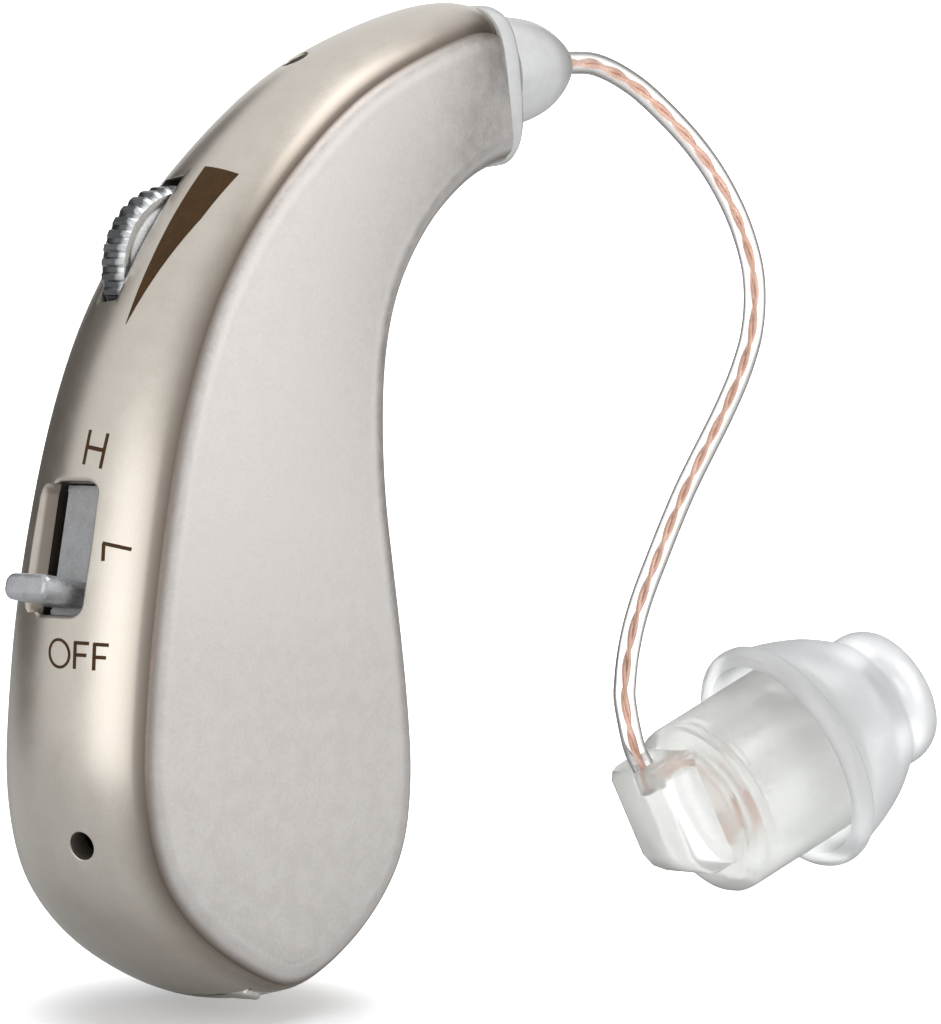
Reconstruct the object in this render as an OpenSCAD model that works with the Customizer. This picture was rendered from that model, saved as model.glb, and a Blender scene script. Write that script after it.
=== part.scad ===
// Behind-the-ear hearing aid with its receiver in the ear canal.
// Frame: +X points forward, where the neck and the lead leave the case, +Z up, Y across the case.
// The origin is the place on the concave edge that rests on the ear, in the middle of the case.

/* [Case] */
// Height of the case from the foot of the bulb to the crown of the neck
case_height = 45.9; // [43:0.1:50]
// Half of the distance between the two parting grooves, at the bulb
case_half_width = 4.7; // [4.5:0.05:5.4]
// How far the spine rises above the parting groove at the bulb
spine_crown = 1.55; // [1:0.05:2]
// How far the spine rises above the parting groove at the neck and at the foot
neck_crown = 1.15; // [0.9:0.05:1.5]
// How far the concave edge rises above the parting groove
front_crown = 0.4; // [0.25:0.05:0.7]
// Wall of the spine band
case_wall = 1; // [0.8:0.05:1.2]
// Height of the side panels above the parting groove
panel_rise = 0.34; // [0.2:0.02:0.5]
// Thickness of the side panels inside the band
panel_lip = 0.5; // [0.4:0.05:0.7]
// Depth of the parting groove
groove_depth = 0.16; // [0.08:0.02:0.25]

/* [Battery] */
// Diameter of the zinc-air cell
battery_d = 7.9; // [7.7:0.05:8]
// Height of the zinc-air cell
battery_h = 5.4; // [5.2:0.05:5.5]
// Wall of the cell's ring in the door
tray_wall = 0.75; // [0.6:0.05:0.9]
// Radius of the door's hinge barrel
barrel_r = 1; // [0.9:0.05:1.1]
// Diameter of the hinge pin
hinge_pin_d = 0.8; // [0.6:0.05:1]
// Diameter of the air vent in the spine
vent_d = 1.35; // [0.8:0.05:1.5]

/* [Volume wheel] */
// Diameter of the wheel over its teeth
wheel_d = 7.5; // [6.8:0.1:7.8]
// Thickness of the wheel
wheel_t = 1.5; // [1.2:0.05:1.7]
// Depth of the wheel's centre below the spine
wheel_depth = 2.7; // [2.5:0.05:2.9]
// Number of teeth round the wheel
wheel_teeth = 34; // [24:1:40]
// Diameter of the wheel's shaft
wheel_shaft_d = 1.2; // [1:0.05:1.5]

/* [Switch] */
// Length of the switch slot along the spine
slot_length = 6; // [5.8:0.1:6.6]
// Width of the switch slot across the spine
slot_width = 3.25; // [3:0.05:3.4]
// Width of the lever's bar across the spine
lever_width = 2.9; // [2.4:0.05:3]
// Thickness of the lever's bar along the spine
lever_t = 1.2; // [1:0.05:1.4]
// How far the bar stands above the spine
lever_rise = 1.6; // [1.3:0.1:2]
// Travel of the lever from OFF to H
lever_travel = 4; // [3.2:0.1:4]

/* [Microphone] */
// Diameter of the microphone hole in the spine
mic_hole_d = 1.3; // [0.9:0.05:1.5]
// Diameter of the microphone capsule
mic_d = 2.8; // [2.5:0.1:2.9]
// Length of the microphone capsule
mic_length = 2.2; // [1.8:0.1:2.4]

/* [Lead] */
// Diameter of the clear lead
lead_d = 1.05; // [0.9:0.05:1.2]
// Length of the translucent cone on the neck
cone_length = 4.9; // [4.6:0.1:5.4]
// Diameter of the cone at the neck
cone_d = 5.2; // [4.8:0.1:5.4]
// Thickness of the translucent collar
collar_t = 1; // [0.8:0.05:1.3]

/* [Receiver] */
// Outer diameter of the clear housing
housing_d = 8.6; // [8.2:0.05:8.8]
// Length of the housing from its datum to its front
housing_length = 7.6; // [7.2:0.1:8]
// Wall of the clear housing
housing_wall = 0.6; // [0.5:0.05:0.7]
// Diameter of the metal can
can_d = 5.9; // [5.6:0.05:6.2]
// Length of the metal can
can_length = 4.9; // [4.4:0.1:5.2]
// Outer diameter of the sound nozzle
nozzle_d = 2.4; // [2.2:0.05:2.6]
// Diameter of the sound outlet
outlet_d = 1.5; // [1.2:0.05:1.6]

/* [Ear tip] */
// Diameter of the skirt's rim
skirt_d = 11.4; // [10.8:0.1:11.8]
// Diameter of the tip's nose
nose_d = 6.6; // [6:0.1:7]
// Length from the skirt's rim to the end of the nose
tip_length = 7.7; // [7.4:0.1:8.2]
// Wall of the skirt
skirt_wall = 0.45; // [0.35:0.05:0.6]

/* [Hidden] */

// Smoothness of round pieces, and an overrun for cuts
$fn = 48;
overrun = 1;
// Gaps: between fixed pieces that seat on each other, round parts that run, and round moving covers
seat_gap = 0.02;
fit_gap = 0.05;
run_gap = 0.06;
cover_gap = 0.12;
clear_gap = 0.3;

// Outline of the case in its middle plane, from the neck to the foot of the bulb.
// Each pair is x and z from the origin, as shares of the case's height.
spine_shares = [
    [0.1253, 0.2222], [0.0763, 0.2302], [-0.0067, 0.2122], [-0.1147, 0.1692], [-0.2047, 0.1037],
    [-0.2839, 0.0251], [-0.3455, -0.0673], [-0.3857, -0.1688], [-0.4102, -0.2678], [-0.4272, -0.3598],
    [-0.4372, -0.4488], [-0.4397, -0.5378], [-0.4147, -0.6338], [-0.3517, -0.7008], [-0.2777, -0.7378],
    [-0.2177, -0.7508]
];
// The concave edge, from the neck to the last pair before the foot.
front_shares = [
    [0.1513, 0.0702], [0.0973, 0.0597], [0.0483, 0.0372], [0, 0], [-0.0417, -0.0538],
    [-0.0637, -0.1108], [-0.0737, -0.1758], [-0.0747, -0.2528], [-0.0677, -0.3228], [-0.0577, -0.4008],
    [-0.0487, -0.4748], [-0.0457, -0.5448], [-0.0587, -0.6168], [-0.1017, -0.6788], [-0.1597, -0.7248]
];
// Half width of the case at each pair, as a share of its half width at the bulb
width_shares = [
    [0, 0.45], [1, 0.55], [2, 0.66], [3, 0.74], [4, 0.8], [5, 0.85], [6, 0.9], [7, 0.945],
    [8, 0.98], [9, 1], [15, 1]
];
front_count = len(front_shares);
outline = case_height * concat(spine_shares, [for (i = [front_count - 1:-1:0]) front_shares[i]]);
last_t = len(outline) - 1;
foot_t = len(spine_shares) - 1;
steps_per_span = 3;
t_step = 1 / steps_per_span;
ts = [for (i = [0:last_t * steps_per_span]) i * t_step];

// The outline as one smooth curve through its points; t counts the points
function knot(i) = outline[max(0, min(last_t, i))];
function cubic(a, b, c, d, u) =
    (2 * b + (c - a) * u + (2 * a - 5 * b + 4 * c - d) * u * u
     + (3 * b - a - 3 * c + d) * u * u * u) / 2;
function crest(t) =
    let (i = max(0, min(floor(t), last_t - 1)))
    cubic(knot(i - 1), knot(i), knot(i + 1), knot(i + 2), t - i);
// Unit vector that points out of the case at t
function outward(t) =
    let (d = crest(min(t + t_step, last_t)) - crest(max(t - t_step, 0)))
    [d[1], -d[0]] / norm(d);
// Point of the outline moved into the case
function inside(t, depth) = crest(t) - depth * outward(t);
function half_width(t) = case_half_width * lookup(min(t, last_t - t), width_shares);
// Crown between the middle plane and the parting groove: high on the spine, low on the front
crown_ts = [0, 3, 10.5, 13, 16];
function crown(t) =
    lookup(t, [[crown_ts[0], neck_crown], [crown_ts[1], spine_crown], [crown_ts[2], spine_crown],
               [crown_ts[3], neck_crown], [crown_ts[4], front_crown]]);
// Drop of the crown at a share v of the half width, along one round arc
function crown_drop(t, v) =
    let (h = half_width(t), c = crown(t), r = (h * h + c * c) / (2 * c))
    r - sqrt(r * r - v * v * h * h);

// Turns a flat shape so that its plane is the middle plane, and its thickness runs along Y
module across(y_from, y_to) {
    translate([0, y_to, 0])
        rotate([90, 0, 0])
            linear_extrude(height = y_to - y_from)
                children();
}
// A round bar across the case
module cross_bar(at, r, y_from, y_to) {
    translate([at[0], y_to, at[1]])
        rotate([90, 0, 0])
            cylinder(r = r, h = y_to - y_from);
}
// Places children on the spine: +Z out of the case, +X along the spine towards the neck
module on_case(t, depth = 0, y = 0) {
    p = inside(t, depth);
    n = outward(t);
    translate([p[0], y, p[1]])
        rotate([0, atan2(n[0], n[1]), 0])
            children();
}
// A box given by its ranges
module box(x, y, z) {
    translate([x[0], y[0], z[0]])
        cube([x[1] - x[0], y[1] - y[0], z[1] - z[0]]);
}
// Triangles of a strip of rings; every ring has n points, and the strip is closed round the ring
function strip(rings, n) = [
    for (i = [0:rings - 2], j = [0:n - 1], half = [0, 1])
        let (a = i * n + j, b = i * n + (j + 1) % n)
        half == 0 ? [a, b, b + n] : [a, b + n, a + n]
];

// The band: a closed section carried along the outline
outer_shares = [1, 0.95, 0.8, 0.55, 0.28, 0, -0.28, -0.55, -0.8, -0.95, -1];
inner_shares = [-1, -0.55, 0, 0.55, 1];
function section(t) = [
    for (v = outer_shares)
        let (p = inside(t, crown_drop(t, v) + (abs(v) == 1 ? groove_depth : 0)))
        [p[0], v * half_width(t), p[1]],
    for (v = inner_shares)
        let (p = inside(t, crown_drop(t, v) + case_wall))
        [p[0], v * half_width(t), p[1]]
];
module band() {
    n = len(outer_shares) + len(inner_shares);
    last = (len(ts) - 1) * n;
    polyhedron(
        points = [for (t = ts) each section(t)],
        faces = concat(
            strip(len(ts), n),
            [[for (j = [n - 1:-1:0]) j]],
            [[for (j = [0:n - 1]) last + j]]
        )
    );
}

// The end of the neck: a plane square to the direction in which the cone leaves
neck_shares = [0.1133, 0.1557];
neck_at = case_height * neck_shares;
neck_tilt = 6;
module at_neck() {
    translate([neck_at[0], 0, neck_at[1]])
        rotate([0, 90 - neck_tilt, 0])
            children();
}
module beyond_neck() {
    reach = 2 * case_half_width;
    at_neck()
        box([-reach, reach], [-reach, reach], [0, reach]);
}

// Side panel, side -1 is the right and +1 the left one. Rings run from its inner face to its top.
// Each pair is the distance inwards from the crown's edge, and outwards from the parting plane.
panel_round = 0.9;
panel_rings = [
    [case_wall + fit_gap, -panel_lip],
    [case_wall + fit_gap, seat_gap],
    [groove_depth, seat_gap],
    [groove_depth / 4, panel_rise * 0.35],
    [panel_round * 0.13, panel_rise * 0.65],
    [panel_round * 0.45, panel_rise * 0.92],
    [panel_round, panel_rise]
];
module panel(side) {
    n = len(ts);
    count = len(panel_rings);
    points = [
        for (ring = panel_rings, t = ts)
            let (p = inside(t, crown(t) + ring[0]))
            [p[0], side * (half_width(t) + ring[1]), p[1]]
    ];
    sides = strip(count, n);
    bottom = [
        for (i = [0:(n - 1) / 2 - 1], half = [0, 1])
            let (a = i, b = i + 1, c = n - 1 - i, d = n - 2 - i)
            half == 0 ? [a, d, b] : [a, c, d]
    ];
    top = [for (f = bottom) [f[0] + (count - 1) * n, f[2] + (count - 1) * n, f[1] + (count - 1) * n]];
    faces = [for (f = concat(sides, bottom, top)) if (f[0] != f[1] && f[1] != f[2]) f];
    polyhedron(
        points = points,
        faces = side > 0 ? faces : [for (f = faces) [f[0], f[2], f[1]]]
    );
}

// Places that several pieces share
wheel_place = 5.29;
wheel_at = inside(wheel_place, wheel_depth);
wheel_from = 0.6;
wheel_y = [wheel_from, wheel_from + wheel_t];
slot_place = 8.39;
slot_y = 0.2;
mic_place = 2.92;
mic_y = 0.75;
vent_place = 11.56;
vent_y = -1.48;
hinge_place = 20.4;
hinge_at = inside(hinge_place, barrel_r + cover_gap);
split_place = 14.35;
door_half = 3.6;
barrel_clear = 1.4 * barrel_r;
battery_r = battery_d / 2;
battery_place = 17;
battery_at = inside(battery_place, case_wall + fit_gap + battery_r);
board_y = [-0.45, 0.15];

// Dowel pins that join the covers through bosses, each on a rib of the band
dowel_d = 0.8;
boss_r = 0.8;
rib_t = 0.8;
rib_share = 0.5;
dowel_places = [2.1, 6.8, 10.4];
dowel_depth = spine_crown + case_wall + 2 * fit_gap + boss_r;
dowel_bite = 0.35;
function dowel_at(i) = inside(dowel_places[i], dowel_depth);

// Slot of the wheel, on the band's own axes
wheel_r = wheel_d / 2;
pocket_r = wheel_r + clear_gap;
wheel_slot_half = sqrt(pocket_r * pocket_r - wheel_depth * wheel_depth) + clear_gap + cover_gap;
wheel_slot_y = [wheel_y[0] - cover_gap, wheel_y[1] + cover_gap];
slot_corner = 0.45;
scoop_r = 3.2;
scoop_depth = 0.75;
scoop_share = 0.97;
scoop_sides = 36;

// A flat bar with round corners, made of straight and round parts only
module round_bar(length, width, corner, z_from, z_to) {
    for (sx = [-1, 1], sy = [-1, 1])
        translate([sx * (length / 2 - corner), sy * (width / 2 - corner), z_from])
            cylinder(r = corner, h = z_to - z_from);
    box([-length / 2, length / 2], [-width / 2 + corner, width / 2 - corner], [z_from, z_to]);
    box([-length / 2 + corner, length / 2 - corner], [-width / 2, width / 2], [z_from, z_to]);
}

// The door's wedge, from the hinge: shift moves its foot away from the split
door_shift = 0.06;
ring_shift = 0.2;
module door_wedge(shift) {
    foot = crest(split_place + shift);
    far = case_height;
    polygon([
        hinge_at,
        hinge_at + 2 * (foot - hinge_at),
        hinge_at + [far, -far],
        hinge_at + far * outward(hinge_place)
    ]);
}

module case_frame() {
    color([0.84, 0.81, 0.76])
        difference() {
            union() {
                band();
                for (i = [0:len(dowel_places) - 1]) {
                    t = dowel_places[i];
                    cross_bar(dowel_at(i), boss_r, -half_width(t) + panel_lip + fit_gap,
                              half_width(t) - panel_lip - fit_gap);
                    on_case(t)
                        box([-rib_t / 2, rib_t / 2], rib_share * half_width(t) * [-1, 1],
                            [-dowel_depth, -crown_drop(t, rib_share) - case_wall / 2]);
                }
            }
            beyond_neck();
            for (i = [0:len(dowel_places) - 1])
                cross_bar(dowel_at(i), dowel_d / 2 + seat_gap, -case_half_width, case_half_width);
            on_case(wheel_place)
                box([-wheel_slot_half, wheel_slot_half], wheel_slot_y, [-2 * case_wall, overrun]);
            cross_bar(wheel_at, pocket_r, wheel_slot_y[0], wheel_slot_y[1]);
            on_case(slot_place, 0, slot_y)
                round_bar(slot_length, slot_width, slot_corner, -2 * case_wall, overrun);
            on_case(slot_place, 0, slot_y + slot_width / 2)
                translate([-slot_length * scoop_share / 2, 0, scoop_r - scoop_depth])
                    rotate([0, 90, 0])
                        linear_extrude(height = slot_length * scoop_share)
                            polygon([for (i = [0:scoop_sides - 1])
                                let (a = 360 * (i + 0.5) / scoop_sides)
                                scoop_r * [cos(a), sin(a)]]);
            on_case(mic_place, 0, mic_y)
                translate([0, 0, -2 * case_wall])
                    cylinder(d = mic_hole_d, h = 2 * case_wall + overrun);
            on_case(vent_place, 0, vent_y)
                translate([0, 0, -2 * case_wall])
                    cylinder(d = vent_d, h = 2 * case_wall + overrun);
            across(-door_half - cover_gap, door_half + cover_gap)
                door_wedge(0);
            cross_bar(hinge_at, barrel_clear, -door_half - cover_gap, door_half + cover_gap);
            cross_bar(hinge_at, hinge_pin_d / 2 + seat_gap, -case_half_width, case_half_width);
        }
}

module cover(side) {
    color([0.87, 0.85, 0.83])
        difference() {
            panel(side);
            beyond_neck();
            for (i = [0:len(dowel_places) - 1])
                cross_bar(dowel_at(i), dowel_d / 2 + seat_gap,
                          side > 0 ? 0 : -half_width(dowel_places[i]) + panel_lip - dowel_bite,
                          side > 0 ? half_width(dowel_places[i]) - panel_lip + dowel_bite : 0);
        }
}
module right_cover() { cover(-1); }
module left_cover() { cover(1); }

module assembly_pins() {
    color([0.7, 0.7, 0.72])
        for (i = [0:len(dowel_places) - 1])
            cross_bar(dowel_at(i), dowel_d / 2,
                      -half_width(dowel_places[i]) + panel_lip - dowel_bite + seat_gap,
                      half_width(dowel_places[i]) - panel_lip + dowel_bite - seat_gap);
}

tray_h = battery_h;
tray_mouth = 50;
grip_place = split_place + door_shift;
grip_height = 0.15;
grip_length = 1;
grip_y = [-3.5, -1.4];
module battery_door() {
    color([0.84, 0.81, 0.76])
        difference() {
            union() {
                intersection() {
                    union() {
                        band();
                        on_case(grip_place, crown_drop(grip_place, grip_y[0] / case_half_width))
                            box([-grip_length, 0], grip_y, [-case_wall / 2, grip_height]);
                    }
                    across(-door_half, door_half)
                        door_wedge(door_shift);
                }
                cross_bar(hinge_at, barrel_r, -door_half, door_half);
                intersection() {
                    cross_bar(battery_at, battery_r + fit_gap + tray_wall, -tray_h / 2, tray_h / 2);
                    across(-tray_h, tray_h)
                        door_wedge(ring_shift);
                }
            }
            cross_bar(battery_at, battery_r + fit_gap, -tray_h, tray_h);
            cross_bar(hinge_at, hinge_pin_d / 2 + run_gap, -case_half_width, case_half_width);
        }
}

module door_hinge_pin() {
    color([0.7, 0.7, 0.72])
        cross_bar(hinge_at, hinge_pin_d / 2, -case_half_width + panel_lip + seat_gap,
                  case_half_width - panel_lip - seat_gap);
}

battery_cap_share = 0.88;
battery_step = 0.3;
module battery() {
    color([0.78, 0.78, 0.8]) {
        cross_bar(battery_at, battery_r, -battery_h / 2 + battery_step, battery_h / 2);
        cross_bar(battery_at, battery_r * battery_cap_share, -battery_h / 2,
                  -battery_h / 2 + battery_step);
    }
}

// Contact leaves: both stand on the board, one beside the cell's rim, one over its flat end
leaf_t = 0.15;
leaf_width = 1.6;
module positive_contact() {
    x = battery_at[0] - battery_r - fit_gap;
    color([0.85, 0.7, 0.35])
        box([x - leaf_t, x], [board_y[1] + seat_gap, board_y[1] + seat_gap + leaf_width],
            [battery_at[1] - leaf_width / 2, board_low[1] + 2 * leaf_width]);
}
module negative_contact() {
    y = -battery_h / 2 - fit_gap;
    x = [battery_at[0] - leaf_width / 2, battery_at[0] + leaf_width / 2];
    z = board_low[1] + leaf_width;
    color([0.85, 0.7, 0.35]) {
        box(x, [y - leaf_t, y], [battery_at[1], z + leaf_t]);
        box(x, [y - leaf_t, board_y[0] - seat_gap], [z, z + leaf_t]);
    }
}

// The board follows the case from the neck to the battery
board_spine_depth = 3.5;
board_front_depth = 2.2;
board_ts = [3.8, 4.4, 5, 5.6, 6.2, 6.8, 7.4, 8, 8.6, 9.2, 9.8];
board_low = inside(max(board_ts), board_spine_depth);
function board_middle(t) = (inside(t, board_spine_depth) + inside(last_t - t, board_front_depth)) / 2;
module circuit_board() {
    color([0.1, 0.35, 0.2])
        difference() {
            across(board_y[0], board_y[1])
                polygon(concat(
                    [for (t = board_ts) inside(t, board_spine_depth)],
                    [for (i = [len(board_ts) - 1:-1:0]) inside(last_t - board_ts[i], board_front_depth)]
                ));
            cross_bar(dowel_at(1), boss_r + clear_gap, -overrun, overrun);
        }
}

chip_place = 7.3;
chip_tilt = 15;
chip_size = [4, 1.2, 3];
module amplifier_chip() {
    p = board_middle(chip_place);
    color([0.12, 0.12, 0.13])
        translate([p[0], board_y[0] - seat_gap - chip_size[1], p[1]])
            rotate([0, chip_tilt, 0])
                box([-chip_size[0] / 2, chip_size[0] / 2], [0, chip_size[1]],
                    [-chip_size[2] / 2, chip_size[2] / 2]);
}

cap_size = [1.6, 0.8, 0.9];
cap_places = [4.2, 5.2, 6.1, 8.8];
module board_capacitors() {
    color([0.55, 0.42, 0.28])
        for (t = cap_places) {
            p = board_middle(t);
            box([p[0] - cap_size[0] / 2, p[0] + cap_size[0] / 2],
                [board_y[0] - seat_gap - cap_size[1], board_y[0] - seat_gap],
                [p[1] - cap_size[2] / 2, p[1] + cap_size[2] / 2]);
        }
}

// Potentiometer under the wheel, with the shaft that the wheel turns on
control_r = 1.1;
control_length = 4;
module volume_control() {
    y = [board_y[1] + seat_gap, wheel_y[0] - fit_gap];
    color([0.2, 0.22, 0.25]) {
        cross_bar(wheel_at, control_r, y[0], y[1]);
        on_case(wheel_place, wheel_depth)
            box([-control_r, control_r], y, [-control_length, 0]);
        cross_bar(wheel_at, wheel_shaft_d / 2, y[0], wheel_y[1] + fit_gap);
    }
}

tooth_d = 0.42;
module volume_wheel() {
    color([0.7, 0.71, 0.72])
        difference() {
            cross_bar(wheel_at, wheel_r, wheel_y[0], wheel_y[1]);
            cross_bar(wheel_at, wheel_shaft_d / 2 + run_gap, wheel_y[0] - overrun, wheel_y[1] + overrun);
            for (i = [0:wheel_teeth - 1])
                let (a = 360 * i / wheel_teeth)
                    cross_bar(wheel_at + (wheel_r + tooth_d * 0.1) * [cos(a), sin(a)], tooth_d / 2,
                              wheel_y[0] - overrun, wheel_y[1] + overrun);
        }
}

screw_head_r = 0.75;
screw_head_t = 0.35;
module wheel_screw() {
    y = wheel_y[1] + fit_gap;
    color([0.7, 0.7, 0.72])
        difference() {
            cross_bar(wheel_at, screw_head_r, y + seat_gap, y + seat_gap + screw_head_t);
            box([wheel_at[0] - screw_head_r, wheel_at[0] + screw_head_r],
                [y + screw_head_t / 2, y + 2 * screw_head_t],
                [wheel_at[1] - screw_head_t / 3, wheel_at[1] + screw_head_t / 3]);
        }
}

// Switch: a body under the spine, a plate over it with a step that fills most of the slot,
// and a lever whose neck passes between the step and the slot's far wall
step_depth = 0.9;
plate_t = 0.2;
switch_length = 7.4;
switch_width = 4.2;
switch_height = 1.5;
neck_width = 0.42;
neck_y = 1.4;
foot_width = 1.2;
foot_height = 0.7;
plate_low = -case_wall - crown_drop(slot_place, switch_width / 2 / case_half_width) - clear_gap - plate_t;
body_low = plate_low - switch_height;
module switch_body() {
    color([0.16, 0.16, 0.17])
        on_case(slot_place, 0, slot_y)
            difference() {
                box([-switch_length / 2, switch_length / 2], [-switch_width / 2, switch_width / 2],
                    [body_low, plate_low - seat_gap]);
                box([-lever_travel / 2 - lever_t, lever_travel / 2 + lever_t],
                    [neck_y - slot_y - foot_width - run_gap, neck_y - slot_y + neck_width + run_gap],
                    [plate_low - foot_height - 2 * run_gap, overrun]);
            }
}
module switch_cover() {
    color([0.52, 0.56, 0.62])
        on_case(slot_place, 0, slot_y)
            difference() {
                union() {
                    box([-switch_length / 2, switch_length / 2], [-switch_width / 2, switch_width / 2],
                        [plate_low, plate_low + plate_t]);
                    box([fit_gap - slot_length / 2, slot_length / 2 - fit_gap],
                        [fit_gap - slot_width / 2, neck_y - slot_y], [plate_low, -step_depth]);
                }
                box([-lever_travel / 2 - lever_t / 2 - run_gap, lever_travel / 2 + lever_t / 2 + run_gap],
                    [neck_y - slot_y - run_gap, neck_y - slot_y + neck_width + run_gap],
                    [plate_low - overrun, overrun]);
            }
}
bar_y = -0.9;
bar_round = 0.4;
bar_low = run_gap - step_depth;
module switch_lever() {
    top = lever_rise;
    low = bar_low + bar_round;
    color([0.75, 0.76, 0.77])
        on_case(slot_place)
            translate([-lever_travel / 2, 0, 0]) {
                translate([0, bar_y + lever_width / 2, 0])
                    intersection() {
                        round_bar(lever_t, lever_width, bar_round, low, top);
                        union() {
                            box([-lever_t, lever_t], [-lever_width, lever_width], [low, top - bar_round]);
                            for (s = [-1, 1])
                                translate([s * (lever_t / 2 - bar_round), lever_width, top - bar_round])
                                    rotate([90, 0, 0])
                                        cylinder(r = bar_round, h = 2 * lever_width);
                            box([-lever_t / 2 + bar_round, lever_t / 2 - bar_round],
                                [-lever_width, lever_width], [top - bar_round, top]);
                        }
                    }
                box([-lever_t / 2, lever_t / 2], [bar_y + bar_round, slot_y + slot_width / 2 - run_gap],
                    [bar_low, low + bar_round]);
                box([-lever_t / 2, lever_t / 2], [neck_y, neck_y + neck_width - run_gap],
                    [plate_low - foot_height, low]);
                box([-lever_t / 2, lever_t / 2], [neck_y - foot_width, neck_y + neck_width - run_gap],
                    [plate_low - foot_height, plate_low - run_gap]);
            }
}
pin_r = 0.2;
pin_length = 1;
module switch_contacts() {
    color([0.85, 0.7, 0.35])
        on_case(slot_place, 0, slot_y)
            for (i = [-1:1])
                translate([i * lever_travel / 2, board_y[0] - slot_y - pin_r - seat_gap,
                           body_low - pin_length - seat_gap])
                    cylinder(r = pin_r, h = pin_length);
}

// Microphone under its hole, in a rubber boot, with a screen across the hole
screen_t = 0.1;
boot_wall = 0.4;
boot_share = 0.7;
mic_bed = 0.9;
module microphone() {
    color([0.75, 0.75, 0.76])
        on_case(mic_place, case_wall + mic_bed + boot_wall + seat_gap, mic_y)
            translate([0, 0, -mic_length])
                cylinder(d = mic_d, h = mic_length);
}
module microphone_boot() {
    boot_length = boot_wall + mic_length * boot_share;
    neck_r = mic_hole_d / 2 + boot_wall / 2;
    neck_height = mic_bed - seat_gap - crown_drop(mic_place, (mic_y + neck_r) / half_width(mic_place));
    color([0.1, 0.1, 0.1])
        on_case(mic_place, case_wall + mic_bed, mic_y)
            difference() {
                union() {
                    translate([0, 0, -boot_length])
                        cylinder(r = mic_d / 2 + boot_wall, h = boot_length);
                    cylinder(r = neck_r, h = neck_height);
                }
                translate([0, 0, -boot_wall - mic_length])
                    cylinder(r = mic_d / 2 + seat_gap, h = mic_length);
                translate([0, 0, -boot_wall - overrun])
                    cylinder(d = mic_hole_d, h = boot_wall + mic_bed + 2 * overrun);
            }
}
module microphone_screen() {
    color([0.25, 0.25, 0.26])
        on_case(mic_place, case_wall / 2, mic_y)
            translate([0, 0, -screen_t])
                cylinder(r = mic_hole_d / 2 - seat_gap, h = screen_t);
}

// Collar, cone and plug on the neck. The collar has the neck's own outline.
neck_ts = [0.3, last_t - 0.7];
neck_half = half_width(neck_ts[0]);
neck_top = norm(crest(neck_ts[0]) - neck_at);
neck_bottom = norm(crest(neck_ts[1]) - neck_at);
collar_shares = [-1, -0.8, -0.55, -0.28, 0, 0.28, 0.55, 0.8, 1];
module neck_section() {
    face_top = -(neck_top - crown(neck_ts[0]) - panel_round);
    face_bottom = neck_bottom - crown(neck_ts[1]) - panel_round;
    face_half = neck_half + panel_rise;
    polygon(concat(
        [for (v = collar_shares) [crown_drop(neck_ts[0], v) - neck_top, v * neck_half]],
        [[face_top, face_half], [face_bottom, face_half]],
        [for (i = [len(collar_shares) - 1:-1:0])
            let (v = collar_shares[i])
            [neck_bottom - crown_drop(neck_ts[1], v), v * neck_half]],
        [[face_bottom, -face_half], [face_top, -face_half]]
    ));
}
wire_way_r = 0.6;
plug_r = 1.3;
plug_length = 2.5;
spigot_length = 1.6;
spigot_wall = 0.35;
module neck_collar() {
    color([0.9, 0.9, 0.88])
        at_neck()
            difference() {
                union() {
                    translate([0, 0, seat_gap])
                        linear_extrude(height = collar_t)
                            neck_section();
                    translate([0, 0, -spigot_length])
                        cylinder(r = plug_r + seat_gap + spigot_wall, h = spigot_length + 2 * seat_gap);
                }
                translate([0, 0, -spigot_length - overrun])
                    cylinder(r = plug_r + seat_gap, h = spigot_length + overrun);
                translate([0, 0, -overrun])
                    cylinder(r = wire_way_r, h = collar_t + 2 * overrun);
            }
}
cone_tip_r = 0.68;
cone_from = collar_t + 2 * seat_gap;
// Radius and height along the cone, as shares of its radius and its length
cone_shares = [[1, 0], [0.98, 0.3], [0.9, 0.5], [0.7, 0.76], [0.5, 0.9], [0.32, 0.975]];
module lead_cone() {
    color([0.88, 0.89, 0.88])
        at_neck()
            translate([0, 0, cone_from])
                rotate_extrude()
                    polygon(concat(
                        [[0, 0]],
                        [for (p = cone_shares) [p[0] * cone_d / 2, p[1] * cone_length]],
                        [[cone_tip_r, cone_length], [0, cone_length]]
                    ));
}
module lead_plug() {
    color([0.3, 0.3, 0.32])
        at_neck()
            translate([0, 0, -plug_length])
                cylinder(r = plug_r, h = plug_length - seat_gap);
}

// Receiver: +Z runs along its axis towards the nose, +X below the axis
receiver_at = [19.2, -0.4, -27.3];
receiver_pitch = 26.5;
receiver_yaw = -10.5;
module at_receiver() {
    translate(receiver_at)
        rotate([0, 90 - receiver_pitch, receiver_yaw])
            children();
}
housing_r = housing_d / 2;
housing_in_r = housing_r - housing_wall;
cavity_from = 0.4;
edge_r = 0.7;
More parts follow.
